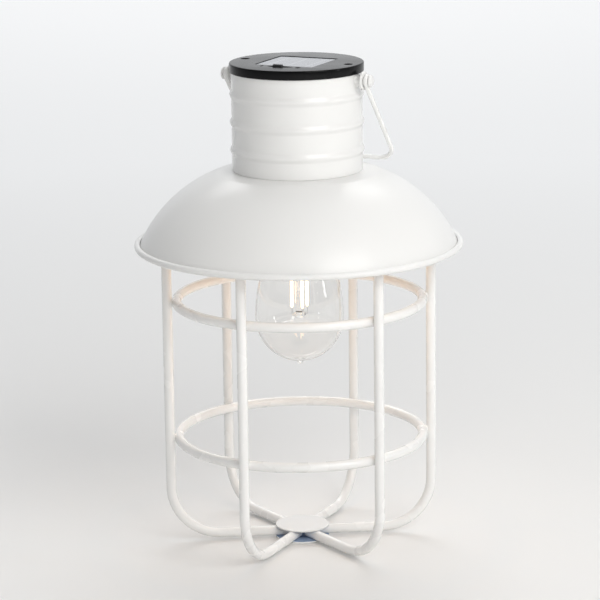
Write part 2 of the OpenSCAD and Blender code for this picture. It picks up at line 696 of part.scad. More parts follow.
module battery_cover() color(black) translate([0, 0, tray_z]) {
    cylinder(r = tray_r - tray_wall - fit_gap, h = cover_t, $fn = 96);
    for (s = [-1, 1]) translate([-9, s * (cell_d / 2 + 0.4) - (s > 0 ? 0 : 1.2), 0])
        cube([18, 1.2, cover_t + 5]);
}

// Two leads from the lamp holder's terminals, round the battery tray, to the board's edge
module lamp_leads() color("#b33a34") for (s = [-1, 1]) sweep_tube([
    for (p = LEAD_ROUTE) [s * p[0], p[1], p[2]]
], lead_r);

neck_can();
dome_shade();
upper_ring();
lower_ring();
rib_1();
rib_2();
rib_3();
rib_4();
rib_5();
rib_6();
hub_plate_top();
hub_plate_bottom();
hub_slug();
ear_bush_left();
ear_bush_right();
bail_rivet_left();
bail_rivet_right();
bail_handle();
lamp_bridge();
lamp_holder();
holder_nut();
socket_shell();
socket_tongue();
bulb_cap();
bulb_end_contact();
bulb_glass();
bulb_stem();
bulb_filaments();
filament_wires();
solar_head();
solar_cell();
panel_cover();
head_screws();
head_bracket_left();
head_bracket_right();
switch_knob();
switch_body();
circuit_board();
board_parts();
battery_tray();
tray_screws();
battery_cell();
battery_spring();
battery_plate();
battery_cover();
lamp_leads();
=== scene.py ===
# %% [markdown]
# # A solar cage lantern
# The lantern is an enamelled steel shade and a beaded can, welded on a cage of six bent rods.
# A filament lamp hangs inside, and a black plastic head with a solar panel closes the top.
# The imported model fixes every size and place. This script gives each piece its finished surface, and
# writes the model's sizes again where it draws a shape again. The pieces ride on the three bodies of
# the model: "lantern", "bail" and "knob".

# %% Load the fixed frame
from math import acos, atan2, cos, degrees, hypot, pi, radians, sin, sqrt

import bmesh
import bpy
from mathutils import Matrix, Quaternion, Vector


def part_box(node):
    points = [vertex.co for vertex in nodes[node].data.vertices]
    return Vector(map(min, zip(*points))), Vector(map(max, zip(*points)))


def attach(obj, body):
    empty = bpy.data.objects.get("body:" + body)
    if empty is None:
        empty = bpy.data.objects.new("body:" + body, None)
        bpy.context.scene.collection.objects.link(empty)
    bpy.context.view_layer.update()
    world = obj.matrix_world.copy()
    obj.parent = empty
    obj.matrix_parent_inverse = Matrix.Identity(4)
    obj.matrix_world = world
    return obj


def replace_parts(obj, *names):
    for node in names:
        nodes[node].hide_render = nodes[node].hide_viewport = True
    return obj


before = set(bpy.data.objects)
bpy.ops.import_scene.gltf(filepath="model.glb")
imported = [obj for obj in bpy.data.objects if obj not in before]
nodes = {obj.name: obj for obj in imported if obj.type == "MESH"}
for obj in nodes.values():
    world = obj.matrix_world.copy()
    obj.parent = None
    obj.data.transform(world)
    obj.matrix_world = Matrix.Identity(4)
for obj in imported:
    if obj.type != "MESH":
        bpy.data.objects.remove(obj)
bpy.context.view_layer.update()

# %% [markdown]
# ## Units and small helpers
# Blender works in metres here, and the sizes of a lantern are easier to read in millimetres.
# So outlines are written in millimetres and `MM` scales them once, when the mesh is made.

# %% Turn an outline round an axis
MM = 0.001
AROUND = 192
SHARP = radians(32)


def put(name, data):
    """Puts a mesh, a light or a camera into the scene as an object."""
    thing = bpy.data.objects.new(name, data)
    bpy.context.scene.collection.objects.link(thing)
    return thing


def keep(name, mesh, finish, body="lantern"):
    """Puts a finished mesh into the scene with its finish and the body it rides on."""
    piece = put(name, mesh)
    mesh.materials.clear()
    mesh.materials.append(finish)
    return settle(piece, body)


def settle(piece, body="lantern"):
    """Smooths a finished piece up to its sharp edges and lets it ride on its body."""
    mesh = piece.data
    mesh.shade_smooth()
    mesh.set_sharp_from_angle(angle=SHARP)
    open_edges = sum(1 for e in edge_users(mesh) if e != 2)
    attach(piece, body)
    print(f"{piece.name}: {len(mesh.polygons)} faces, {open_edges} open edges, on {body}")
    return piece


def edge_users(mesh):
    """How many faces use each edge, which is two everywhere on a closed mesh."""
    users = [0] * len(mesh.edges)
    for loop in mesh.loops:
        users[loop.edge_index] += 1
    return users


def on_circle(radius, height, i, sides):
    """Corner i of a ring with so many sides, from millimetres to metres."""
    turn = 2 * pi * i / sides
    return (radius * MM * cos(turn), radius * MM * sin(turn), height * MM)


def mesh_of(name, work):
    """Turns finished bmesh work into a mesh."""
    mesh = bpy.data.meshes.new(name)
    work.to_mesh(mesh)
    work.free()
    return mesh


def turned_mesh(name, outline, sides=AROUND, place=Matrix.Identity(4)):
    """A closed outline of (radius, height) points in millimetres, turned once round the Z axis."""
    work = bmesh.new()
    rings = []
    for r, z in outline:
        if r < 1e-6:
            rings.append([work.verts.new((0, 0, z * MM))] * sides)
        else:
            rings.append([work.verts.new(on_circle(r, z, i, sides)) for i in range(sides)])
    for k, low in enumerate(rings):
        high = rings[(k + 1) % len(rings)]
        if low[0] is low[1] and high[0] is high[1]:
            continue
        for i in range(sides):
            j = (i + 1) % sides
            corners = list(dict.fromkeys([low[i], low[j], high[j], high[i]]))
            work.faces.new(corners)
    bmesh.ops.recalc_face_normals(work, faces=work.faces)
    work.transform(place)
    return mesh_of(name, work)


def arc(centre, radius, start, end, steps):
    """Points on an arc, in degrees, for an outline."""
    turn = [radians(start + (end - start) * i / steps) for i in range(steps + 1)]
    return [(centre[0] + radius * cos(t), centre[1] + radius * sin(t)) for t in turn]


def eased(points, index, reach, steps=5):
    """The outline with one corner rounded over, reach to each side but less than half of either side."""
    side_share = 0.45
    before, corner, after = (Vector(points[index + k]) for k in (-1, 0, 1))
    start = corner + (before - corner).normalized() * min(reach, (before - corner).length * side_share)
    end = corner + (after - corner).normalized() * min(reach, (after - corner).length * side_share)
    curve = []
    for i in range(steps + 1):
        t = i / steps
        curve.append(tuple((1 - t) ** 2 * start + 2 * t * (1 - t) * corner + t * t * end))
    return points[:index] + curve + points[index + 1:]


print("an arc of 90 degrees:", len(arc((0, 0), 1, 0, 90, 6)), "points")

# %% [markdown]
# ## Node trees written in a few words
# Materials and Geometry Nodes are both node trees. One helper adds a node, sets its settings
# and its inputs, and links an input when it is given another node's socket.

# %% Helper for node trees
def add(tree, kind, inputs=None, output=0, **settings):
    """Adds one node and returns one of its outputs."""
    made = tree.nodes.new(kind)
    for key, value in settings.items():
        setattr(made, key, value)
    for key, value in (inputs or {}).items():
        if isinstance(value, bpy.types.NodeSocket):
            tree.links.new(value, made.inputs[key])
        else:
            made.inputs[key].default_value = value
    return made.outputs[output]


def calc(tree, operation, *values):
    """One step of arithmetic."""
    return add(tree, "ShaderNodeMath", dict(enumerate(values)), operation=operation)


def axes(tree, vector):
    """The X, Y and Z of a vector, by name."""
    split = tree.nodes.new("ShaderNodeSeparateXYZ")
    tree.links.new(vector, split.inputs[0])
    return split.outputs


def nodes_tree(name, inputs):
    """A Geometry Nodes tree with named inputs. Returns it, its input sockets and their identifiers."""
    tree = bpy.data.node_groups.new(name, "GeometryNodeTree")
    tree.interface.new_socket("Geometry", in_out="OUTPUT", socket_type="NodeSocketGeometry")
    named = {}
    for label, kind in inputs.items():
        named[label] = tree.interface.new_socket(label, in_out="INPUT", socket_type=kind).identifier
    entry = tree.nodes.new("NodeGroupInput")
    return tree, {label: entry.outputs[label] for label in inputs}, named


def close_tree(tree, geometry, finish):
    """Every tree ends in real geometry with its finish set."""
    real = add(tree, "GeometryNodeRealizeInstances", {0: geometry})
    done = add(tree, "GeometryNodeSetMaterial", {"Geometry": real, "Material": finish})
    leave = tree.nodes.new("NodeGroupOutput")
    tree.links.new(done, leave.inputs[0])


def set_round(tree, piece, times, first_turn):
    """Sets one piece round the Z axis a number of times."""
    points = add(tree, "GeometryNodePoints", {"Count": times})
    turn = calc(tree, "MULTIPLY_ADD", add(tree, "GeometryNodeInputIndex"),
                calc(tree, "DIVIDE", 2 * pi, times), first_turn)
    way = add(tree, "ShaderNodeCombineXYZ", {"Z": turn})
    return add(tree, "GeometryNodeInstanceOnPoints", {"Points": points, "Instance": piece, "Rotation": way})


def made_plain(piece):
    """Turns what a piece's modifiers make into its plain mesh, and removes the modifiers."""
    bpy.context.view_layer.update()
    ready = piece.evaluated_get(bpy.context.evaluated_depsgraph_get())
    mesh = bpy.data.meshes.new_from_object(ready)
    piece.modifiers.clear()
    piece.data = mesh
    return piece


def bevelled(piece, width, angle, segments=3):
    """Breaks the edges that turn by more than angle, with a bevel of width millimetres."""
    step = piece.modifiers.new("edges", "BEVEL")
    step.width, step.segments = width * MM, segments
    step.limit_method, step.angle_limit = "ANGLE", radians(angle)
    return made_plain(piece)


def grow(name, tree, named, values, solidify=0):
    """Runs a tree on an empty mesh and turns the result into a plain mesh with no modifier."""
    piece = put(name, bpy.data.meshes.new(name))
    run = piece.modifiers.new("nodes", "NODES")
    run.node_group = tree
    for label, value in values.items():
        run[named[label]] = value
    if solidify:
        wall = piece.modifiers.new("wall", "SOLIDIFY")
        wall.thickness, wall.offset, wall.use_even_offset = solidify, -1, True
    return made_plain(piece)


FLOAT, COUNT, FINISH = "NodeSocketFloat", "NodeSocketInt", "NodeSocketMaterial"
print("helpers ready")

# %% [markdown]
# ## Camera
# The camera stands to the right of the switch side, higher than the head, and looks down at 13 degrees.
# A long lens keeps the upright rods almost parallel. The camera leans by less than one degree.

# %% Camera
CAMERA_AT = Vector((0.7414, -1.5892, 0.5727))
LOOK = Vector((-0.4114, 0.8823, -0.2285))
ROLL = radians(-0.75)
LENS, SENSOR = 165.5, 36.0
camera = put("camera", bpy.data.cameras.new("camera"))
camera.data.lens, camera.data.sensor_width = LENS, SENSOR
camera.location = CAMERA_AT
camera.rotation_mode = "QUATERNION"
camera.rotation_quaternion = LOOK.to_track_quat("-Z", "Y") @ Quaternion((0, 0, 1), ROLL)
bpy.context.scene.camera = camera
print("camera looks down by", round(degrees(atan2(-LOOK.z, hypot(LOOK.x, LOOK.y))), 1), "degrees")

# %% [markdown]
# ## Finishes
# Every finish is a Principled surface. Its colour and its roughness drift a little with a soft noise,
# and a fine grain bends the light as paint, moulded plastic or brushed metal does.
# Sizes are real: the noise reads Object coordinates, which are metres here.

# %% A finish with drift and grain
OBJECT_COORDINATES = 3
PATCH = 0.03
NOISE_LOW, NOISE_HIGH = 0.3, 0.7
LEAST_ROUGH = 0.02


def surface_material(name):
    """A new Principled material. Returns it, its node tree, its surface node and the Object coordinates."""
    material = bpy.data.materials.new(name)
    material.use_nodes = True
    tree = material.node_tree
    place = add(tree, "ShaderNodeTexCoord", output=OBJECT_COORDINATES)
    return material, tree, tree.nodes["Principled BSDF"], place


def set_sockets(surface, values):
    """Sets sockets by their names, with _ in place of a space."""
    for socket, value in values.items():
        surface.inputs[socket.replace("_", " ")].default_value = value


def finish(name, colour, roughness, grain, depth, drift=0.04, spread=0.06, **shader):
    """Middle colour and roughness, size and depth of the grain in metres, and other sockets by name."""
    material, tree, surface, place = surface_material(name)
    broad = add(tree, "ShaderNodeTexNoise", {"Vector": place, "Scale": 1 / PATCH, "Detail": 3.0})
    fine = add(tree, "ShaderNodeTexNoise", {"Vector": place, "Scale": 1 / grain, "Detail": 2.0})
    low = tuple(c * (1 - drift) for c in colour) + (1,)
    high = tuple(min(1, c * (1 + drift)) for c in colour) + (1,)
    tone = mix_colour(tree, broad, low, high)
    rough = add(tree, "ShaderNodeMapRange", {
        "Value": broad, "From Min": NOISE_LOW, "From Max": NOISE_HIGH,
        "To Min": max(LEAST_ROUGH, roughness - spread), "To Max": roughness + spread})
    bump = add(tree, "ShaderNodeBump", {"Height": fine, "Distance": depth, "Strength": 1.0})
    tree.links.new(tone, surface.inputs["Base Color"])
    tree.links.new(rough, surface.inputs["Roughness"])
    tree.links.new(bump, surface.inputs["Normal"])
    set_sockets(surface, shader)
    return material


def mix_colour(tree, factor, low, high):
    """A colour between two colours."""
    made = tree.nodes.new("ShaderNodeMix")
    made.data_type = "RGBA"
    sockets = [s for s in made.inputs if s.type == "RGBA"]
    for socket, value in zip(sockets, (low, high)):
        if isinstance(value, bpy.types.NodeSocket):
            tree.links.new(value, socket)
        else:
            socket.default_value = value
    tree.links.new(factor, made.inputs["Factor"])
    return [s for s in made.outputs if s.type == "RGBA"][0]


PAINT = {"drift": 0.006, "spread": 0.015}
enamel = finish("white_enamel", (0.805, 0.802, 0.79), 0.24, 0.0014, 0.000004,
                Coat_Weight=0.3, Coat_Roughness=0.08, **PAINT)
rod_enamel = finish("white_rod_enamel", (0.86, 0.857, 0.845), 0.27, 0.0011, 0.000004,
                    Coat_Weight=0.3, Coat_Roughness=0.1, **PAINT)
shade_enamel = finish("white_shade_enamel", (0.81, 0.807, 0.795), 0.3, 0.0014, 0.000004,
                      Coat_Weight=0.06, Coat_Roughness=0.12, Specular_IOR_Level=0.36, **PAINT)
# Bare steel with painted shade and a painted blue reflection: its dark blue stands for the shaded gap between
# the hub discs.
bare_steel_painted_shade = finish("bare_steel_painted_blue_shade", (0.17, 0.21, 0.28), 0.34, 0.0009, 0.00001,
                    drift=0.25, spread=0.12, Metallic=1.0)
zinc = finish("zinc_plated_steel", (0.62, 0.64, 0.67), 0.3, 0.0012, 0.000008,
              drift=0.08, spread=0.1, Metallic=1.0)
black = finish("black_moulded_plastic", (0.004, 0.0041, 0.0044), 0.21, 0.00035, 0.000006,
               drift=0.1, spread=0.03, Specular_IOR_Level=0.14)
black_side = finish("black_holder_plastic", (0.02, 0.02, 0.021), 0.42, 0.0006, 0.00001, drift=0.1)
knob_black = finish("black_knob_plastic", (0.02, 0.0205, 0.022), 0.45, 0.0003, 0.00001, drift=0.1)
mark_black = finish("matt_mark", (0.006, 0.006, 0.0065), 0.8, 0.0002, 0.00001, drift=0.1)
brass = finish("brass", (0.78, 0.55, 0.25), 0.26, 0.001, 0.000006, drift=0.08, Metallic=1.0)
board_green = finish("board_green", (0.03, 0.16, 0.06), 0.35, 0.0015, 0.00001, drift=0.15, Coat_Weight=0.4)
jacket = finish("cell_jacket", (0.35, 0.39, 0.44), 0.32, 0.002, 0.000004, drift=0.06, Coat_Weight=0.5)
lead_red = finish("lead_red", (0.45, 0.035, 0.03), 0.4, 0.0008, 0.000008, drift=0.1)
print("finishes:", len(bpy.data.materials))

# %% [markdown]
# Glass is nearly all transmission. The bulb is thin and clear, with a faint warm grey tint, and a slow
# waviness from blowing that bends what shows through it.

# %% Glass and light
glass = finish("clear_glass", (0.985, 0.98, 0.97), 0.0, 0.02, 0.00003, drift=0.002, spread=0.0,
               Transmission_Weight=1.0, IOR=1.47)


def glowing(name, colour, strength):
    """A filament's coating, which gives light itself, and not quite evenly."""
    dim, speckle_size = 0.85, 900.0
    material = finish(name, (0.9, 0.62, 0.3), 0.5, 0.0006, 0.00002)
    tree = material.node_tree
    surface = tree.nodes["Principled BSDF"]
    place = add(tree, "ShaderNodeTexCoord", output=OBJECT_COORDINATES)
    speckle = add(tree, "ShaderNodeTexNoise", {"Vector": place, "Scale": speckle_size, "Detail": 1.0})
    light = mix_colour(tree, speckle, tuple(c * dim for c in colour) + (1,), tuple(colour) + (1,))
    tree.links.new(light, surface.inputs["Emission Color"])
    surface.inputs["Emission Strength"].default_value = strength
    return material


filament_glow = glowing("filament_glow", (1.0, 0.70, 0.40), 5.0)
print("glass and filament ready")

# %% [markdown]
# The solar panel is dark silicon under clear resin. Silver fingers run across it in fine lines,
# and three wider busbars cross them. The lines are made with arithmetic on the Object coordinates.

# %% Solar panel finish
FINGER_PITCH, FINGER_WIDTH = 0.0018, 0.00022
BUSBAR_PITCH, BUSBAR_WIDTH = 0.0130, 0.0009


def panel_finish():
    """Dark blue silicon with silver lines, under a glossy coat."""
    material, tree, surface, place = surface_material("solar_panel")
    axis = axes(tree, place)

    def lines(along, pitch, width):
        """1 on a line, 0 between the lines."""
        wave = calc(tree, "PINGPONG", calc(tree, "ADD", along, 1.0), pitch / 2)
        return calc(tree, "LESS_THAN", wave, width / 2)

    fingers = lines(axis["Y"], FINGER_PITCH, FINGER_WIDTH)
    busbars = lines(axis["X"], BUSBAR_PITCH, BUSBAR_WIDTH)
    metal = calc(tree, "MAXIMUM", fingers, busbars)
    crystal = add(tree, "ShaderNodeTexVoronoi", {"Vector": place, "Scale": 260.0}, output=1)
    grey = add(tree, "ShaderNodeRGBToBW", {0: crystal})
    silicon = mix_colour(tree, grey, (0.035, 0.045, 0.075, 1), (0.06, 0.075, 0.12, 1))
    colour = mix_colour(tree, metal, silicon, (0.30, 0.31, 0.33, 1))
    tree.links.new(colour, surface.inputs["Base Color"])
    noise = add(tree, "ShaderNodeTexNoise", {"Vector": place, "Scale": 120.0})
    rough = add(tree, "ShaderNodeMapRange", {"Value": noise, "To Min": 0.16, "To Max": 0.26})
    tree.links.new(rough, surface.inputs["Roughness"])
    bump = add(tree, "ShaderNodeBump", {"Height": noise, "Distance": 0.00002, "Strength": 1.0})
    tree.links.new(bump, surface.inputs["Coat Normal"])
    set_sockets(surface, {"Metallic": 0.85, "Coat_Weight": 0.8, "Coat_Roughness": 0.09, "Coat_IOR": 1.6})
    return material


solar = panel_finish()
print("solar panel finish ready")

# %% [markdown]
# ## Floor and light
# The lantern stands on a pale floor with light and shade painted into its colour: darker near the lantern
# as painted shade, and lighter further off as painted light. A big soft key light from the right and a front
# light, which is kept out of reflections, model the white enamel. A weak light fills from the left. A narrow
# strip stands at the right, one light hangs above, and a wide one behind shines straight down on the floor.
# The pale world lights all the rest.

# %% Floor
FLOOR_R = 14.0
FLOOR_T = 20
FLOOR_SIDES = 64
# Between these distances in metres, the floor's colour passes from painted shade to painted light.
PAINTED_SHADE_UNTIL, PAINTED_LIGHT_FROM = 0.25, 1.4


def floor_painted_light():
    """Matt pale floor with painted shade near the lantern and painted light further away, so it grows a
    little lighter away from the lantern.
    """
    material, tree, surface, place = surface_material("studio_floor_painted_light")
    away = add(tree, "ShaderNodeVectorMath", {0: place}, output=1, operation="LENGTH")
    far = add(tree, "ShaderNodeMapRange", {"Value": away, "From Min": PAINTED_SHADE_UNTIL, "From Max": PAINTED_LIGHT_FROM})
    # Painted shade near the lantern and painted light far from it, mixed into the floor's colour.
    tone = mix_colour(tree, far, (0.80, 0.795, 0.785, 1), (0.945, 0.95, 0.955, 1))
    tree.links.new(tone, surface.inputs["Base Color"])
    set_sockets(surface, {"Roughness": 0.75, "Specular_IOR_Level": 0.2})
    return material


floor_outline = [(0, 0), (FLOOR_R / MM, 0), (FLOOR_R / MM, -FLOOR_T), (0, -FLOOR_T)]
floor_mesh = turned_mesh("floor", floor_outline, FLOOR_SIDES)
floor_mesh.materials.append(floor_painted_light())
floor = put("floor", floor_mesh)

# %% Lights
LANTERN_MIDDLE = Vector((0, 0, 0.16))
SOFT_WHITE = (1.0, 0.99, 0.97)


def softbox(name, azimuth, elevation, distance, size, power, colour=(1, 1, 1)):
    """An area light that faces the lantern. Azimuth 0 is the switch side and 90 is the right."""
    light = put(name, bpy.data.lights.new(name, "AREA"))
    a, e = radians(azimuth), radians(elevation)
    way = Vector((sin(a) * cos(e), -cos(a) * cos(e), sin(e)))
    light.location = LANTERN_MIDDLE + way * distance
    light.rotation_mode = "QUATERNION"
    light.rotation_quaternion = (-way).to_track_quat("-Z", "Y")
    light.data.shape = "RECTANGLE"
    light.data.size, light.data.size_y = size
    light.data.energy = power
    light.data.color = colour
    return light


KEY_POWER, FRONT_POWER, FILL_POWER, SIDE_POWER = 16.4, 13.8, 2.8, 3.4
TOP_POWER, BACK_POWER = 3.2, 88.0
softbox("key_light", 62, 35, 1.9, (1.1, 1.0), KEY_POWER, SOFT_WHITE)
front = softbox("front_light", 32, 25, 2.2, (1.2, 1.0), FRONT_POWER, SOFT_WHITE)
front.visible_glossy = False
softbox("fill_light", -25, 25, 2.2, (1.8, 1.4), FILL_POWER)
softbox("side_light", 100, 14, 1.9, (0.12, 0.8), SIDE_POWER)
softbox("top_light", 90, 80, 1.8, (1.6, 1.6), TOP_POWER)
back = softbox("back_light", 205, 42, 4.6, (4.0, 2.5), BACK_POWER)
back.rotation_quaternion = Vector((0, 0, -1)).to_track_quat("-Z", "Y")
bpy.context.scene.view_settings.view_transform = "Standard"

# %% [markdown]
# In a studio the paper behind the object is bright and the room behind the camera is dark. The world
# does the same: its light grows from the front to the back, which gives white enamel its soft modelling
# and glass its dark outline. Straight behind, a brighter patch of sheen is added.

# %% World
FRONT_LIGHT, BACK_LIGHT, SHEEN_LIGHT = 0.03, 0.66, 0.28
BACK_WAY = (-0.42, 0.90, 0.12)
GROW_FROM, GROW_TO, SHEEN_FROM, SHEEN_TO = -0.5, 0.75, 0.78, 0.95
world = bpy.data.worlds.new("pale_studio")
bpy.context.scene.world = world
world.use_nodes = True
sky = world.node_tree
way = add(sky, "ShaderNodeTexCoord", output=0)
toward = add(sky, "ShaderNodeVectorMath", {0: way, 1: BACK_WAY}, output=1, operation="DOT_PRODUCT")
power = add(sky, "ShaderNodeMapRange", {"Value": toward, "From Min": GROW_FROM, "From Max": GROW_TO,
                                        "To Min": FRONT_LIGHT, "To Max": BACK_LIGHT},
            interpolation_type="SMOOTHSTEP")
sheen = add(sky, "ShaderNodeMapRange", {"Value": toward, "From Min": SHEEN_FROM, "From Max": SHEEN_TO,
                                        "To Min": 0.0, "To Max": SHEEN_LIGHT},
            interpolation_type="SMOOTHSTEP")
power = calc(sky, "ADD", power, sheen)
background = sky.nodes["Background"]
background.inputs["Color"].default_value = (0.965, 0.98, 1.0, 1)
sky.links.new(power, background.inputs["Strength"])

# %% Warm light from the lamp
LAMP_AT = (0, 0, 0.172)
LAMP_POWER, LAMP_SIZE = 0.06, 0.012
lamp_light = put("lamp_glow", bpy.data.lights.new("lamp_glow", "POINT"))
lamp_light.location = LAMP_AT
lamp_light.data.energy = LAMP_POWER
lamp_light.data.color = (1.0, 0.60, 0.32)
lamp_light.data.shadow_soft_size = LAMP_SIZE
lamp_light.visible_camera = lamp_light.visible_glossy = lamp_light.visible_transmission = False

# %% [markdown]
# ## The beaded can
# On the real lantern the can is one drawn sheet with three rolled beads that stiffen it.
# Its shape follows a rule, so Geometry Nodes make it: a flat grid is wrapped round the axis,
# its lowest rows lie flat as the can's floor flange, and a soft wave pushes the wall out at each bead.
# A Solidify modifier then gives the sheet its thickness.

# %% Can
SHEET = 0.8
CAN_R = 42.2
SHOULDER_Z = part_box("neck_can")[0].z / MM
CAN_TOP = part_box("neck_can")[1].z / MM
MOUTH_Z, MOUTH_STEP = 312.4, 0.9
FLANGE = 5.0
BEAD_FIRST, BEAD_PITCH, BEAD_OUT, BEAD_HALF = 13.6, 18.0, 1.1, 3.1
BEADS, BEAD_FULLNESS = 3.0, 0.8
FOOT_CORNER = 0.8
CAN_ROWS = 180


def can_tree():
    """Wraps a grid into the can's wall."""
    tree, socket, named = nodes_tree("beaded_can", {
        "Radius": FLOAT, "Foot Height": FLOAT, "Wall Height": FLOAT, "Flange": FLOAT, "First Bead": FLOAT,
        "Bead Pitch": FLOAT, "Beads": FLOAT, "Bead Out": FLOAT, "Bead Half Height": FLOAT,
        "Mouth Height": FLOAT, "Mouth Step": FLOAT, "Columns": COUNT, "Rows": COUNT, "Finish": FINISH})
    grid = add(tree, "GeometryNodeMeshGrid", {"Size X": 1.0, "Size Y": 1.0, "Vertices X": socket["Columns"],
                                              "Vertices Y": socket["Rows"]})
    flat = axes(tree, add(tree, "GeometryNodeInputPosition"))
    angle = calc(tree, "MULTIPLY", flat["X"], 2 * pi)
    along = calc(tree, "MULTIPLY", calc(tree, "ADD", flat["Y"], 0.5),
                 calc(tree, "ADD", socket["Flange"], socket["Wall Height"]))
    up = calc(tree, "SUBTRACT", along, socket["Flange"])
    corner = FOOT_CORNER * MM
    inward = calc(tree, "SMOOTH_MAX", calc(tree, "MULTIPLY", up, -1.0), 0.0, corner)
    height = calc(tree, "SMOOTH_MAX", up, 0.0, corner)
    step = calc(tree, "DIVIDE", calc(tree, "SUBTRACT", height, socket["First Bead"]), socket["Bead Pitch"])
    nearest = calc(tree, "MINIMUM", calc(tree, "MAXIMUM", calc(tree, "ROUND", step), 0.0),
                   calc(tree, "SUBTRACT", socket["Beads"], 1.0))
    off = calc(tree, "MULTIPLY", calc(tree, "SUBTRACT", step, nearest), socket["Bead Pitch"])
    off = calc(tree, "ABSOLUTE", off)
    share = calc(tree, "MINIMUM", calc(tree, "DIVIDE", off, socket["Bead Half Height"]), 1.0)
    wave = calc(tree, "MULTIPLY_ADD", calc(tree, "COSINE", calc(tree, "MULTIPLY", share, pi)), 0.5, 0.5)
    bead = calc(tree, "MULTIPLY", calc(tree, "POWER", wave, BEAD_FULLNESS), socket["Bead Out"])
    mouth_end = calc(tree, "ADD", socket["Mouth Height"], socket["Mouth Step"])
    mouth = add(tree, "ShaderNodeMapRange", {
        "Value": height, "From Min": socket["Mouth Height"], "From Max": mouth_end},
        interpolation_type="SMOOTHSTEP")
    radius = calc(tree, "SUBTRACT", calc(tree, "ADD", socket["Radius"], bead), inward)
    radius = calc(tree, "SUBTRACT", radius, calc(tree, "MULTIPLY", mouth, socket["Mouth Step"]))
    x = calc(tree, "MULTIPLY", radius, calc(tree, "COSINE", angle))
    y = calc(tree, "MULTIPLY", radius, calc(tree, "SINE", angle))
    z = calc(tree, "ADD", height, socket["Foot Height"])
    spot = add(tree, "ShaderNodeCombineXYZ", {"X": x, "Y": y, "Z": z})
    wrapped = add(tree, "GeometryNodeSetPosition", {"Geometry": grid, "Position": spot})
    sewn = add(tree, "GeometryNodeMergeByDistance", {"Geometry": wrapped, "Distance": 1e-6})
    close_tree(tree, sewn, socket["Finish"])
    return tree, named


can = grow("can_wall", *can_tree(), {
    "Radius": CAN_R * MM, "Foot Height": SHOULDER_Z * MM, "Wall Height": (CAN_TOP - SHOULDER_Z) * MM,
    "Flange": FLANGE * MM, "First Bead": BEAD_FIRST * MM, "Bead Pitch": BEAD_PITCH * MM, "Beads": BEADS,
    "Bead Out": BEAD_OUT * MM, "Bead Half Height": BEAD_HALF * MM,
    "Mouth Height": (MOUTH_Z - SHOULDER_Z) * MM, "Mouth Step": MOUTH_STEP * MM,
    "Columns": AROUND + 1, "Rows": CAN_ROWS, "Finish": enamel}, solidify=SHEET * MM)
settle(can)
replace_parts(can, "neck_can")

# %% [markdown]
# ## The shade
# The shade is spun from one sheet: a flat shoulder under the can, a faint crease, a long even curve and
# a rolled edge. It is a turned shape, so its section is drawn once, down the inner face, round the curl
# and up the outer face, and turned about the axis. The curl stays open, which leaves the dark crevice
# that a rolled edge has.

# %% Shade
SHADE_R, SHADE_Z = 106.8, 197.6
CURL_R, CURL_TURN = 2.1, 292
ARC_R = 88.0
CREASE_OUT, CREASE_DROP = 10.2, 1.3
SHADE_SIDES, ARC_STEPS, CURL_STEPS = 224, 60, 40
CREASE = (CAN_R + CREASE_OUT, SHOULDER_Z - CREASE_DROP - SHEET)
CURL_C = (SHADE_R - CURL_R, SHADE_Z + CURL_R)


def circles_meet(p, p_radius, q, q_radius):
    """The left meeting point of two circles, seen from p to q."""
    p, q = Vector(p), Vector(q)
    d = (q - p).length
    along = (p_radius ** 2 - q_radius ** 2 + d * d) / (2 * d)
    up = sqrt(p_radius ** 2 - along * along)
    way = (q - p) / d
    return p + along * way + up * Vector((-way.y, way.x))


ARC_C = circles_meet(CURL_C, ARC_R + CURL_R, CREASE, ARC_R)
ARC_LOW = degrees(atan2(CURL_C[1] - ARC_C.y, CURL_C[0] - ARC_C.x))
ARC_HIGH = degrees(atan2(CREASE[1] - ARC_C.y, CREASE[0] - ARC_C.x))
ARC_HIGH_OUT = degrees(acos((CREASE[0] + 0.3 - ARC_C.x) / (ARC_R + SHEET)))
curl_start = ARC_LOW + 180
curl_first = curl_start + CURL_TURN / CURL_STEPS
curl_end = curl_start + CURL_TURN
inner = arc(ARC_C, ARC_R, ARC_HIGH, ARC_LOW, ARC_STEPS)
curl = arc(CURL_C, CURL_R, curl_first, curl_end, CURL_STEPS - 1)
lip_way = radians(curl_end)
lip_r = CURL_R - SHEET / 2
lip_c = (CURL_C[0] + lip_r * cos(lip_way), CURL_C[1] + lip_r * sin(lip_way))
lip = arc(lip_c, SHEET / 2, curl_end, curl_end + 180, 6)[1:-1]
hollow = arc(CURL_C, CURL_R - SHEET, curl_end, curl_first, CURL_STEPS - 1)
outer = arc(ARC_C, ARC_R + SHEET, ARC_LOW, ARC_HIGH_OUT, ARC_STEPS)
shade_outline = [(CAN_R - FLANGE, SHOULDER_Z), (CAN_R - FLANGE, SHOULDER_Z - SHEET),
                 (CAN_R, SHOULDER_Z - SHEET)]
crease_in = len(shade_outline)
shade_outline += inner + curl + lip + hollow + outer
crease_out = len(shade_outline) - 1
shade_outline += [(CAN_R, SHOULDER_Z)]
shade_outline = eased(shade_outline, crease_out, 1.6, 8)
shade_outline = eased(shade_outline, crease_in, 1.2, 6)
shade_mesh = turned_mesh("shade_shell", shade_outline, SHADE_SIDES)
shade = keep("shade_shell", shade_mesh, shade_enamel)
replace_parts(shade, "dome_shade")

# %% [markdown]
# ## The cage
# Six equal rods run out of the hub, bend upwards and end under the shade. One tree makes them all:
# a line with three points gets a round corner from Fillet Curve, Curve to Mesh gives it its thickness,
# the top end is pushed onto the shade's curve, and the rod is set round the axis six times.

# %% Rods
ROD_D, CAGE_R, BEND_R, RUN_Z, RUN_IN = 6.4, 86.5, 33.0, 4.4, 7.35
RODS, FIRST_TURN = 6, radians(30)
WIRE_SIDES = 32
INTO_SHADE = 0.1


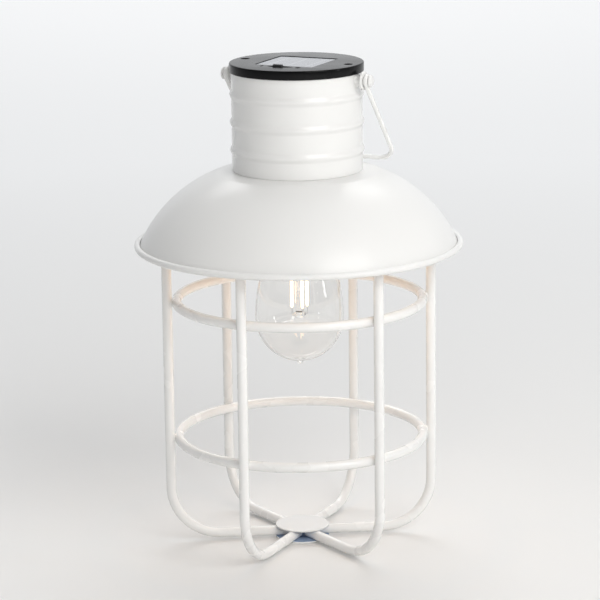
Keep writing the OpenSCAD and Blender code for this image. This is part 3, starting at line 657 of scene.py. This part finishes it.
def cage_tree():
    """One bent rod, set round the axis."""
    tree, socket, named = nodes_tree("bent_rods", {
        "Rod Diameter": FLOAT, "Stand Radius": FLOAT, "Bend Radius": FLOAT, "Run Height": FLOAT,
        "Run Start": FLOAT, "Top Height": FLOAT, "Shade Radius": FLOAT, "Shade Centre Out": FLOAT,
        "Shade Centre Up": FLOAT, "Rods": COUNT, "First Turn": FLOAT, "Finish": FINISH})
    hub = add(tree, "ShaderNodeCombineXYZ", {"X": socket["Run Start"], "Z": socket["Run Height"]})
    corner = add(tree, "ShaderNodeCombineXYZ", {"X": socket["Stand Radius"], "Z": socket["Run Height"]})
    top = add(tree, "ShaderNodeCombineXYZ", {"X": socket["Stand Radius"], "Z": socket["Top Height"]})
    line = add(tree, "GeometryNodeCurvePrimitiveLine", {"Start": hub, "End": top})
    three = add(tree, "GeometryNodeResampleCurve", {"Curve": line, "Count": 3})
    middle = add(tree, "FunctionNodeCompare", {2: add(tree, "GeometryNodeInputIndex"), 3: 1},
                 data_type="INT", operation="EQUAL")
    cornered = add(tree, "GeometryNodeSetPosition", {
        "Geometry": three, "Selection": middle, "Position": corner})
    bent = add(tree, "GeometryNodeFilletCurve", {
        "Curve": cornered, "Count": WIRE_SIDES, "Radius": socket["Bend Radius"]}, mode="POLY")
    section = add(tree, "GeometryNodeCurvePrimitiveCircle", {
        "Resolution": WIRE_SIDES, "Radius": calc(tree, "MULTIPLY", socket["Rod Diameter"], 0.5)})
    rod = add(tree, "GeometryNodeCurveToMesh", {"Curve": bent, "Profile Curve": section, "Fill Caps": True})
    at = axes(tree, add(tree, "GeometryNodeInputPosition"))
    out = calc(tree, "SQRT", calc(tree, "ADD", calc(tree, "MULTIPLY", at["X"], at["X"]),
                                  calc(tree, "MULTIPLY", at["Y"], at["Y"])))
    over = calc(tree, "SUBTRACT", out, socket["Shade Centre Out"])
    rise = calc(tree, "SQRT", calc(tree, "SUBTRACT",
                                   calc(tree, "MULTIPLY", socket["Shade Radius"], socket["Shade Radius"]),
                                   calc(tree, "MULTIPLY", over, over)))
    under = calc(tree, "ADD", rise, socket["Shade Centre Up"])
    on_shade = add(tree, "ShaderNodeCombineXYZ", {"X": at["X"], "Y": at["Y"], "Z": under})
    is_top = calc(tree, "GREATER_THAN", at["Z"], calc(tree, "SUBTRACT", socket["Top Height"], MM))
    coped = add(tree, "GeometryNodeSetPosition", {
        "Geometry": rod, "Selection": is_top, "Position": on_shade})
    close_tree(tree, set_round(tree, coped, socket["Rods"], socket["First Turn"]), socket["Finish"])
    return tree, named


TOP_Z = ARC_C.y + sqrt(ARC_R ** 2 - (CAGE_R - ARC_C.x) ** 2)
rods = grow("cage_rods", *cage_tree(), {
    "Rod Diameter": ROD_D * MM, "Stand Radius": CAGE_R * MM, "Bend Radius": BEND_R * MM,
    "Run Height": RUN_Z * MM, "Run Start": RUN_IN * MM, "Top Height": TOP_Z * MM,
    "Shade Radius": (ARC_R + INTO_SHADE) * MM, "Shade Centre Out": ARC_C.x * MM,
    "Shade Centre Up": ARC_C.y * MM, "Rods": RODS, "First Turn": FIRST_TURN, "Finish": rod_enamel})
settle(rods)
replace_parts(rods, *[f"rib_{i}" for i in range(1, RODS + 1)])

# %% [markdown]
# Two rings of the same wire are welded inside the rods. Each ring is a circle swept with a round section,
# and the small blobs of weld where a ring meets a rod are one squashed ball, set round the axis.

# %% Rings and welds
RING_R, RING_D = 80.25, 6.4
WELD_R, WELD_SQUASH = 2.3, (0.62, 1.0, 1.12)
RING_LOW = (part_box("lower_ring")[0].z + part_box("lower_ring")[1].z) / 2
RING_HIGH = (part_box("upper_ring")[0].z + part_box("upper_ring")[1].z) / 2


def ring_tree():
    """A ring of round wire."""
    tree, socket, named = nodes_tree("wire_ring", {
        "Ring Radius": FLOAT, "Wire Diameter": FLOAT, "Height": FLOAT, "Finish": FINISH})
    path = add(tree, "GeometryNodeCurvePrimitiveCircle", {
        "Resolution": AROUND, "Radius": socket["Ring Radius"]})
    section = add(tree, "GeometryNodeCurvePrimitiveCircle", {
        "Resolution": WIRE_SIDES, "Radius": calc(tree, "MULTIPLY", socket["Wire Diameter"], 0.5)})
    ring = add(tree, "GeometryNodeCurveToMesh", {"Curve": path, "Profile Curve": section})
    lift = add(tree, "ShaderNodeCombineXYZ", {"Z": socket["Height"]})
    placed = add(tree, "GeometryNodeTransform", {"Geometry": ring, "Translation": lift})
    close_tree(tree, placed, socket["Finish"])
    return tree, named


wire_ring = ring_tree()
for name, node, height in (("upper_hoop", "upper_ring", RING_HIGH), ("lower_hoop", "lower_ring", RING_LOW)):
    hoop = grow(name, *wire_ring, {"Ring Radius": RING_R * MM, "Wire Diameter": RING_D * MM, "Height": height,
                                   "Finish": rod_enamel})
    settle(hoop)
    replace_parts(hoop, node)


def weld_tree():
    """Blobs of weld between a ring and the rods."""
    tree, socket, named = nodes_tree("ring_welds", {
        "Radius": FLOAT, "Low Height": FLOAT, "High Height": FLOAT, "Blob": FLOAT, "Rods": COUNT,
        "First Turn": FLOAT, "Finish": FINISH})
    share = calc(tree, "DIVIDE", 2 * pi, socket["Rods"])
    index = add(tree, "GeometryNodeInputIndex")
    rod = calc(tree, "MODULO", index, socket["Rods"])
    turn = calc(tree, "MULTIPLY_ADD", rod, share, socket["First Turn"])
    is_high = calc(tree, "GREATER_THAN", calc(tree, "ADD", index, 0.5), socket["Rods"])
    gap = calc(tree, "SUBTRACT", socket["High Height"], socket["Low Height"])
    rise = calc(tree, "MULTIPLY", is_high, gap)
    spot = add(tree, "ShaderNodeCombineXYZ", {
        "X": calc(tree, "MULTIPLY", socket["Radius"], calc(tree, "COSINE", turn)),
        "Y": calc(tree, "MULTIPLY", socket["Radius"], calc(tree, "SINE", turn)),
        "Z": calc(tree, "ADD", rise, socket["Low Height"])})
    points = add(tree, "GeometryNodePoints", {
        "Count": calc(tree, "MULTIPLY", socket["Rods"], 2.0), "Position": spot})
    ball = add(tree, "GeometryNodeMeshUVSphere", {"Segments": 20, "Rings": 12, "Radius": socket["Blob"]})
    squash = add(tree, "GeometryNodeTransform", {"Geometry": ball, "Scale": WELD_SQUASH})
    way = add(tree, "ShaderNodeCombineXYZ", {"Z": turn})
    blobs = add(tree, "GeometryNodeInstanceOnPoints", {"Points": points, "Instance": squash, "Rotation": way})
    close_tree(tree, blobs, socket["Finish"])
    return tree, named


welds = grow("ring_welds", *weld_tree(), {
    "Radius": (RING_R + RING_D / 2) * MM, "Low Height": RING_LOW, "High Height": RING_HIGH,
    "Blob": WELD_R * MM, "Rods": RODS, "First Turn": FIRST_TURN, "Finish": rod_enamel})
settle(welds)

# %% [markdown]
# ## The hub
# Two pressed discs hold the rods' inner ends. The discs are enamelled outside. Between them the steel is
# bare, because little paint reaches there, and a darker blue is painted on it as the shade and bluish
# reflection of the narrow gap.

# %% Hub discs and slug
HUB_R, HUB_EASE = 17.7, 0.35
# Height and half-height of the band of painted shade between the discs, in metres.
BARE_SHADE_MIDDLE, BARE_SHADE_HALF = 0.0044, 0.0033


def hub_finish_painted_shade():
    """Enamel that gives way to bare steel between the two discs, where a darker blue is painted as the gap's
    shade and reflection.
    """
    material = enamel.copy()
    material.name = "hub_enamel"
    tree = material.node_tree
    surface = tree.nodes["Principled BSDF"]
    tone = surface.inputs["Base Color"].links[0].from_socket
    height = axes(tree, add(tree, "ShaderNodeTexCoord", output=OBJECT_COORDINATES))["Z"]
    off_middle = calc(tree, "ABSOLUTE", calc(tree, "SUBTRACT", height, BARE_SHADE_MIDDLE))
    in_shaded_gap = calc(tree, "LESS_THAN", off_middle, BARE_SHADE_HALF)
    # Painted shade: a darker blue between the discs for the shade and bluish reflection in the gap, on steel
    # that is bare there.
    bare_and_painted_shade = mix_colour(tree, in_shaded_gap, tone, (0.33, 0.42, 0.58, 1))
    tree.links.new(bare_and_painted_shade, surface.inputs["Base Color"])
    return material


hub_enamel = hub_finish_painted_shade()
for name, node in (("hub_disc_top", "hub_plate_top"), ("hub_disc_bottom", "hub_plate_bottom")):
    low, high = (corner.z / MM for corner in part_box(node))
    outline = [(0, low)] + arc((HUB_R - HUB_EASE, low + HUB_EASE), HUB_EASE, -90, 0, 4)
    outline += arc((HUB_R - HUB_EASE, high - HUB_EASE), HUB_EASE, 0, 90, 4) + [(0, high)]
    disc = keep(name, turned_mesh(name, outline, 96), hub_enamel)
    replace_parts(disc, node)
# The slug is bare steel. Its dark blue is painted shade and painted reflection of the gap between the discs.
nodes["hub_slug"].data.materials[0] = bare_steel_painted_shade

# %% [markdown]
# ## The carrying bail
# One thin wire makes the whole bail: an eye, an arm, a round corner, the bar, and the same again.
# It is drawn as one line and given a round section, so it has no joints anywhere.

# %% Bail
PIVOT_Z = 307.9
WIRE_R = 1.5
EYE_R = 3.08
EYE_TURN = 262
HALF_W = 49.45
CORNER_R = 12.0
CAN_GAP, SHADE_GAP = 1.6, 0.9
EYE_STEPS, ARM_STEPS, CORNER_STEPS, BAR_STEPS = 40, 12, 12, 8
BAR_Y = CAN_R + CAN_GAP + WIRE_R
BAR_DROP = PIVOT_Z - SHOULDER_Z - SHADE_GAP - WIRE_R
ARM = sqrt(BAR_Y ** 2 + BAR_DROP ** 2 - EYE_R ** 2)
LEAN = atan2(BAR_Y, BAR_DROP) + atan2(EYE_R, ARM)


def wire_mesh(name, points, radius, sides=24):
    """A round wire along a line of points in millimetres, with closed ends."""
    points = [Vector(p) * MM for p in points]
    work = bmesh.new()
    rings = []
    side = None
    for i, p in enumerate(points):
        way = (points[min(i + 1, len(points) - 1)] - points[max(i - 1, 0)]).normalized()
        if side is None:
            side = way.orthogonal().normalized()
        side = (side - way * side.dot(way)).normalized()
        other = way.cross(side)
        turns = [2 * pi * k / sides for k in range(sides)]
        rings.append([work.verts.new(p + radius * MM * (cos(t) * side + sin(t) * other)) for t in turns])
    for low, high in zip(rings, rings[1:]):
        for k in range(sides):
            work.faces.new([low[k], low[(k + 1) % sides], high[(k + 1) % sides], high[k]])
    work.faces.new(rings[0][::-1])
    work.faces.new(rings[-1])
    bmesh.ops.recalc_face_normals(work, faces=work.faces)
    return mesh_of(name, work)


def bail_half(side):
    """Points from the free end of one eye to the middle of the bar, in the bail's own plane."""
    line = []
    for i in range(EYE_STEPS + 1):
        t = radians(EYE_TURN * (1 - i / EYE_STEPS))
        line.append((side * HALF_W, -EYE_R * cos(t), EYE_R * sin(t)))
    straight = ARM - CORNER_R
    line += [(side * HALF_W, -EYE_R, -straight * i / ARM_STEPS) for i in range(1, ARM_STEPS)]
    for i in range(CORNER_STEPS + 1):
        t = radians(90 * i / CORNER_STEPS)
        line.append((side * (HALF_W - CORNER_R + CORNER_R * cos(t)), -EYE_R, -straight - CORNER_R * sin(t)))
    line += [(side * (HALF_W - CORNER_R) * (1 - i / BAR_STEPS), -EYE_R, -ARM) for i in range(1, BAR_STEPS)]
    return line


bail_line = bail_half(1) + [(0, -EYE_R, -ARM)] + bail_half(-1)[::-1]
hang = Matrix.Rotation(LEAN, 3, "X")
bail_line = [hang @ Vector(p) + Vector((0, 0, PIVOT_Z)) for p in bail_line]
bail = keep("bail_wire", wire_mesh("bail_wire", bail_line, WIRE_R, 28), rod_enamel, "bail")
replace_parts(bail, "bail_handle")

# %% [markdown]
# Each eye turns on a rivet. A bush holds it off the can with a flange behind it, and the rivet's round
# head keeps it on. Bushes and rivets are turned shapes that lie on their sides.

# %% Bushes and rivets
BORE_R, BUSH_R, BUSH_IN = 1.5, 3.7, 40.9
FLANGE_R, FLANGE_OUT, FLANGE_T = 6.1, 47.65, 1.5
RIVET_R, RIVET_IN, SEAT_R, SEAT_OUT = 1.5, 40.5, 3.75, 51.25
DOME_R, DOME_WIDE, DOME_HIGH = 4.05, 1.6, 1.15
TURNED_SIDES = 64


def sideways(side):
    """Lays a turned piece on its side, along +X or -X, at the height of the pivots."""
    turn = Matrix.Rotation(radians(90 * side), 4, "Y")
    return Matrix.Translation((0, 0, PIVOT_Z * MM)) @ turn


bush_outline = [(BORE_R, BUSH_IN), (BUSH_R, BUSH_IN), (BUSH_R, FLANGE_OUT - FLANGE_T)]
bush_outline += arc((FLANGE_R - 0.35, FLANGE_OUT - FLANGE_T + 0.35), 0.35, -90, 0, 3)
bush_outline += arc((FLANGE_R - 0.45, FLANGE_OUT - 0.45), 0.45, 0, 90, 4) + [(BORE_R, FLANGE_OUT)]
rivet_outline = [(0, RIVET_IN), (RIVET_R, RIVET_IN), (RIVET_R, SEAT_OUT), (SEAT_R, SEAT_OUT)]
rivet_outline += arc((DOME_R - 0.35, 51.6), 0.35, -60, 0, 3)
rivet_outline += [(DOME_R - DOME_WIDE * (1 - cos(radians(t))), 51.75 + DOME_HIGH * sin(radians(t)))
                  for t in range(10, 90, 10)]
rivet_outline += [(2.2, 53.0), (1.2, 53.18), (0, 53.25)]
for side, word in ((-1, "left"), (1, "right")):
    for name, outline, node in ((f"bail_bush_{word}", bush_outline, f"ear_bush_{word}"),
                                (f"rivet_{word}", rivet_outline, f"bail_rivet_{word}")):
        mesh = turned_mesh(name, outline, TURNED_SIDES, sideways(side))
        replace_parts(keep(name, mesh, enamel), node)

# %% [markdown]
# ## The lamp
# The glass is blown: round below with the small nub where it was sealed, then drawn in to the neck.
# It is turned with its real wall thickness, because light bends at both faces of the wall.

# %% Glass
BULB_R, BULB_Z, GLASS_T = 29.0, 150.0, 0.8
NECK_R, CAP_LOW = 12.7, 233.4
NECK_DRAW = 1.75
SIDE_R = 108.0
CONE_Z = BULB_Z + BULB_R * 1.3
CONE_R = BULB_R - SIDE_R + sqrt(SIDE_R ** 2 - (CONE_Z - BULB_Z) ** 2)


def glass_side(inset):
    """The glass from its lowest point up to the neck, moved in by inset."""
    side = arc((0, BULB_Z), BULB_R - inset, -90, 0, 40)
    for i in range(1, 17):
        z = BULB_Z + (CONE_Z - BULB_Z) * i / 16
        side.append((BULB_R - SIDE_R + sqrt(SIDE_R ** 2 - (z - BULB_Z) ** 2) - inset, z))
    for i in range(1, 21):
        t = i / 20
        r = NECK_R + (CONE_R - NECK_R) * (1 - t) ** NECK_DRAW
        side.append((r - inset, CONE_Z + (CAP_LOW - 4 - CONE_Z) * t))
    return side + [(NECK_R - inset, CAP_LOW + 3)]


outer_side = glass_side(0)
nub = [(0, 118.4), (0.8, 118.55), (1.5, 119.0), (1.95, 119.7), (2.15, 120.3), (2.5, 120.8), (3.4, 121.05)]
inner_side = glass_side(GLASS_T)[::-1]
bulb_outline = nub + [p for p in outer_side if p[0] > 4.2] + inner_side[:-1] + [(0, inner_side[-1][1])]
bulb = keep("bulb_glass_shell", turned_mesh("bulb_glass_shell", bulb_outline, 160), glass)
bulb.visible_shadow = False
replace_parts(bulb, "bulb_glass")

# %% [markdown]
# Inside the glass a stem carries four straight filaments. Each one is a small glowing stick between two
# fine wires. The stem is turned, and the sticks are set round the axis by a small tree.

# %% Stem and filaments
BEAD_Z, STEM_R = 151.6, 2.6
BEAD_R, BEAD_HIGH = 4, 2.4
NECK_IN = NECK_R - GLASS_T
stem_outline = [(0, BEAD_Z - BEAD_HIGH)]
stem_outline += [(BEAD_R * cos(radians(a)), BEAD_Z + BEAD_HIGH * sin(radians(a))) for a in range(-80, 60, 10)]
stem_outline += [(STEM_R, BEAD_Z + 3.2), (STEM_R, 209), (STEM_R + 0.4, 214), (STEM_R + 1.4, 219), (6.2, 226),
                 (NECK_IN - 0.6, 230.4), (NECK_IN, 231.4), (NECK_IN, 232.2), (NECK_IN - 1.4, 231.4),
                 (5.6, 228.6), (2.9, 224), (0.8, 220), (0, 219)]
stem = keep("glass_stem", turned_mesh("glass_stem", stem_outline, 64), glass)
stem.visible_shadow = False
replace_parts(stem, "bulb_stem")


def filament_tree():
    """Round-ended sticks, set on a circle."""
    tree, socket, named = nodes_tree("filament_sticks", {
        "Circle Radius": FLOAT, "Stick Radius": FLOAT, "Low Height": FLOAT, "Length": FLOAT, "Sticks": COUNT,
        "First Turn": FLOAT, "Finish": FINISH})
    low = add(tree, "ShaderNodeCombineXYZ", {"X": socket["Circle Radius"], "Z": socket["Low Height"]})
    high = add(tree, "ShaderNodeCombineXYZ", {
        "X": socket["Circle Radius"], "Z": calc(tree, "ADD", socket["Low Height"], socket["Length"])})
    line = add(tree, "GeometryNodeCurvePrimitiveLine", {"Start": low, "End": high})
    fine = add(tree, "GeometryNodeResampleCurve", {"Curve": line, "Count": 41})
    along = add(tree, "GeometryNodeSplineParameter")
    end = calc(tree, "MULTIPLY", calc(tree, "ABSOLUTE", calc(tree, "SUBTRACT", along, 0.5)), 2.0)
    thick = calc(tree, "SQRT", calc(tree, "SUBTRACT", 1.02, calc(tree, "POWER", end, 24.0)))
    shaped = add(tree, "GeometryNodeSetCurveRadius", {"Curve": fine, "Radius": thick})
    section = add(tree, "GeometryNodeCurvePrimitiveCircle", {
        "Resolution": 16, "Radius": socket["Stick Radius"]})
    stick = add(tree, "GeometryNodeCurveToMesh", {
        "Curve": shaped, "Profile Curve": section, "Fill Caps": True, "Scale": thick})
    close_tree(tree, set_round(tree, stick, socket["Sticks"], socket["First Turn"]), socket["Finish"])
    return tree, named


filaments = grow("filament_sticks", *filament_tree(), {
    "Circle Radius": 5.3 * MM, "Stick Radius": 0.9 * MM, "Low Height": 156.5 * MM, "Length": 32 * MM,
    "Sticks": 4, "First Turn": radians(45), "Finish": filament_glow})
settle(filaments)
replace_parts(filaments, "bulb_filaments")
filaments.visible_shadow = False
nodes["filament_wires"].data.materials[0] = zinc

# %% [markdown]
# ## The solar head
# The head is a moulded lid. A turned blank gets its pocket, its switch dish and its two deep screw
# wells from Boolean cuts, and a small Bevel breaks every edge as a mould does.

# %% Head blank and cuts
HEAD_R, HEAD_TOP, SKIRT_Z = 43.3, 318.0, 312.1
HEAD_LOW = 314.6
EDGE = 0.9
POCKET_W, POCKET_Z = 40.4, 315.8
SWITCH_Y = 25.0
DISH_LEN, DISH_W, DISH_DEPTH = 18.6, 5.6, 2.1
SLOT_LEN, SLOT_W = 9.8, 2.2
SCREW_X, WELL_R, WELL_Z = 36.4, 3.0, 313.4
BOSS_R, BOSS_LOW, HOLE_R, HOLE_LOW = 3.6, 312.4, 1.6, 311


def prism(name, corners, low, high):
    """A straight-sided block over an outline of (x, y) points, in millimetres."""
    work = bmesh.new()
    floor_ring = [work.verts.new((x * MM, y * MM, low * MM)) for x, y in corners]
    roof_ring = [work.verts.new((x * MM, y * MM, high * MM)) for x, y in corners]
    work.faces.new(floor_ring[::-1])
    work.faces.new(roof_ring)
    for i in range(len(corners)):
        j = (i + 1) % len(corners)
        work.faces.new([floor_ring[i], floor_ring[j], roof_ring[j], roof_ring[i]])
    return mesh_of(name, work)


def rectangle(x, y, wide, deep):
    """Corner points of a rectangle about its middle."""
    left, right, near, far = x - wide / 2, x + wide / 2, y - deep / 2, y + deep / 2
    return [(left, near), (right, near), (right, far), (left, far)]


def round_square(width, corner, steps=5):
    """Corner points of a square with rounded corners."""
    half = width / 2 - corner
    points = []
    for k, (sx, sy) in enumerate(((1, 1), (-1, 1), (-1, -1), (1, -1))):
        points += arc((sx * half, sy * half), corner, 90 * k, 90 * k + 90, steps)
    return points


def lens(length, width, centre_y, steps=28):
    """Two shallow arcs that meet in points."""
    radius = (length ** 2 + width ** 2) / (4 * width)
    half = degrees(atan2(length / 2, radius - width / 2))
    low = arc((0, centre_y + radius - width / 2), radius, -90 - half, -90 + half, steps)
    high = arc((0, centre_y - radius + width / 2), radius, 90 - half, 90 + half, steps)
    return low[:-1] + high[:-1]


def circle(x, y, radius, steps=48):
    """A round outline."""
    turns = [2 * pi * i / steps for i in range(steps)]
    return [(x + radius * cos(t), y + radius * sin(t)) for t in turns]


PLUG_R, GROOVE_R, GROOVE_Z, SKIRT_IN = 40.0, 41.5, 315.9, 42.4
head_outline = [(PLUG_R, HEAD_LOW), (PLUG_R, GROOVE_Z), (GROOVE_R, GROOVE_Z), (GROOVE_R, 313.5),
                (SKIRT_IN, 312.4), (SKIRT_IN, SKIRT_Z)]
head_outline += arc((HEAD_R - 0.3, SKIRT_Z + 0.3), 0.3, -90, 0, 3)
head_outline += arc((HEAD_R - EDGE, HEAD_TOP - EDGE), EDGE, 0, 90, 8)
HEAD_SIDES = 240
blank = bmesh.new()
rings = [[blank.verts.new(on_circle(r, z, i, HEAD_SIDES)) for i in range(HEAD_SIDES)]
         for r, z in head_outline]
for low, high in zip(rings, rings[1:]):
    for i in range(HEAD_SIDES):
        j = (i + 1) % HEAD_SIDES
        blank.faces.new([low[i], low[j], high[j], high[i]])
blank.faces.new(rings[-1])
blank.faces.new(rings[0][::-1])
bmesh.ops.recalc_face_normals(blank, faces=blank.faces)
head = put("head_lid", mesh_of("head_lid", blank))


def united(name, meshes):
    """Several meshes in one."""
    work = bmesh.new()
    for mesh in meshes:
        work.from_mesh(mesh)
    return mesh_of(name, work)


def cut(target, cutter_mesh, operation="DIFFERENCE"):
    """One Boolean step."""
    cutter = put("cutter", cutter_mesh)
    step = target.modifiers.new("cut", "BOOLEAN")
    step.operation, step.solver, step.object = operation, "EXACT", cutter
    made_plain(target)
    bpy.data.objects.remove(cutter)


bosses = [prism("boss", circle(s * SCREW_X, 0, BOSS_R), BOSS_LOW, HEAD_LOW + 1) for s in (-1, 1)]
cut(head, united("bosses", bosses), "UNION")
cuts = [prism("pocket", round_square(POCKET_W, 0.7), POCKET_Z, HEAD_TOP + 5),
        prism("dish", lens(DISH_LEN, DISH_W, -SWITCH_Y), HEAD_TOP - DISH_DEPTH, HEAD_TOP + 5)]
cuts += [prism("well", circle(s * SCREW_X, 0, WELL_R), WELL_Z, HEAD_TOP + 5) for s in (-1, 1)]
cut(head, united("cuts", cuts))
small_cuts = [prism("slot", rectangle(0, -SWITCH_Y, SLOT_LEN, SLOT_W), HEAD_LOW - 1, HEAD_TOP + 1)]
small_cuts += [prism("hole", circle(s * SCREW_X, 0, HOLE_R, 24), HOLE_LOW, WELL_Z + 1) for s in (-1, 1)]
cut(head, united("small_cuts", small_cuts))
print("head after the cuts:", len(head.data.polygons), "faces")

# %% Break the head's edges
bevelled(head, 0.22, 40, segments=2)
head.data.materials.clear()
head.data.materials.append(black)
settle(head)
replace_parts(head, "solar_head")

# %% [markdown]
# The panel lies in its pocket, a little below the lid's face. It is one resin-covered block with
# softly rounded edges, and the silicon below it keeps its own piece. The block's faces are shaded flat,
# so that its wide top reflects the light as the flat sheet that it is.

# %% Panel
PANEL_W = 40.0
cover_low, cover_high = (corner.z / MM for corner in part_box("panel_cover"))
panel = put("panel_resin", prism("panel_resin", round_square(PANEL_W, 0.6), cover_low, cover_high))
bevelled(panel, 0.3, 50)
panel.data.materials.clear()
panel.data.materials.append(solar)
settle(panel)
for face in panel.data.polygons:
    face.use_smooth = False
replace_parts(panel, "panel_cover")
nodes["solar_cell"].data.materials[0] = solar

# %% [markdown]
# The screws sit deep in their wells. Each has a domed head with a cross recess, cut as two crossed slots.

# %% Head screws
CROSS_LEN, CROSS_W = 3.0, 0.6


def screw_mesh():
    """One pan-head screw on the right, with its cross."""
    outline = [(0, 309), (1.0, 309), (1.4, 309.5), (1.4, WELL_Z), (2.55, WELL_Z), (2.6, WELL_Z + 0.7)]
    outline += arc((1.6, WELL_Z + 0.7), 1.0, 0, 80, 6)[1:] + [(0, WELL_Z + 1.7)]
    screw = put("screw", turned_mesh("screw", outline, 48, Matrix.Translation((SCREW_X * MM, 0, 0))))
    for wide, deep in ((CROSS_LEN, CROSS_W), (CROSS_W, CROSS_LEN)):
        cut(screw, prism("bar", rectangle(SCREW_X, 0, wide, deep), WELL_Z + 0.8, WELL_Z + 3))
    return screw


def round_tree():
    """The tree that sets a finished piece round the axis."""
    tree, socket, named = nodes_tree("set_round", {
        "Piece": "NodeSocketObject", "Times": COUNT, "Finish": FINISH})
    piece = add(tree, "GeometryNodeObjectInfo", {"Object": socket["Piece"]}, output=4)
    close_tree(tree, set_round(tree, piece, socket["Times"], 0.0), socket["Finish"])
    return tree, named


pattern_screw = screw_mesh()
screws = grow("lid_screws", *round_tree(), {"Piece": pattern_screw, "Times": 2, "Finish": zinc})
bpy.data.objects.remove(pattern_screw)
settle(screws)
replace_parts(screws, "head_screws")

# %% [markdown]
# ## The switch
# A ridged knob slides in the dish. Two plain signs, a bar for on and a ring for off, stand beside it.

# %% Knob and signs
knob_low, knob_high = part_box("switch_knob")
knob_x = (knob_low.x + knob_high.x) / 2 / MM
knob_top = knob_high.z / MM


def rounded_block(corners, low, high, edge):
    """The mesh of a block with every edge rounded over."""
    block = bevelled(put("block", prism("block", corners, low, high)), edge, 40)
    mesh = block.data
    bpy.data.objects.remove(block)
    return mesh


GRIP_LOW, NECK_LOW, NECK_HIGH = 316.8, 313.4, 317.2
RIDGE_PITCH = 1.3
knob_parts = [rounded_block(rectangle(knob_x, -SWITCH_Y, 6.6, 2.6), GRIP_LOW, knob_top - 0.35, 0.35),
              rounded_block(rectangle(knob_x, -SWITCH_Y, 4.6, 1.6), NECK_LOW, NECK_HIGH, 0.1)]
for i in (-2, -1, 0, 1, 2):
    ridge = rectangle(knob_x + RIDGE_PITCH * i, -SWITCH_Y, 0.7, 2.3)
    knob_parts.append(rounded_block(ridge, knob_top - 0.8, knob_top, 0.2))
knob = keep("knob_grip", united("knob_grip", knob_parts), knob_black, "knob")
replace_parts(knob, "switch_knob")

SIGN_X, SIGN_SIDES = 12.6, 40
SIGN_Z = (HEAD_TOP - 0.05, HEAD_TOP + 0.12)
ring_lines = [circle(SIGN_X, -SWITCH_Y, radius, SIGN_SIDES) for radius in (1.7, 1.05)]
sign = bmesh.new()
levels = [[sign.verts.new((x * MM, y * MM, z * MM)) for x, y in line] for line in ring_lines for z in SIGN_Z]
for a, b in ((0, 1), (1, 3), (3, 2), (2, 0)):
    for i in range(SIGN_SIDES):
        j = (i + 1) % SIGN_SIDES
        sign.faces.new([levels[a][i], levels[a][j], levels[b][j], levels[b][i]])
bmesh.ops.recalc_face_normals(sign, faces=sign.faces)
ring_mesh = mesh_of("ring_sign", sign)
bar_mesh = prism("bar_sign", rectangle(-SIGN_X, -SWITCH_Y, 0.8, 3.4), *SIGN_Z)
keep("switch_signs", united("switch_signs", [ring_mesh, bar_mesh]), mark_black)

# %% [markdown]
# ## Pieces inside the can
# The battery tray, the board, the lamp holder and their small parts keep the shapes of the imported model.
# Each gets the finish of what it is made of.

# %% Finishes for the inner pieces
inner_finishes = {
    zinc: ["lamp_bridge", "head_bracket_left", "head_bracket_right", "tray_screws", "battery_spring",
           "battery_plate"],
    black_side: ["lamp_holder", "holder_nut", "battery_tray", "battery_cover", "bulb_end_contact",
                 "board_parts"],
    brass: ["socket_shell", "socket_tongue", "bulb_cap"],
    board_green: ["circuit_board"],
    jacket: ["battery_cell", "switch_body"],
    lead_red: ["lamp_leads"],
}
for material, names in inner_finishes.items():
    for name in names:
        nodes[name].data.materials[0] = material
print("inner pieces:", sum(len(names) for names in inner_finishes.values()))
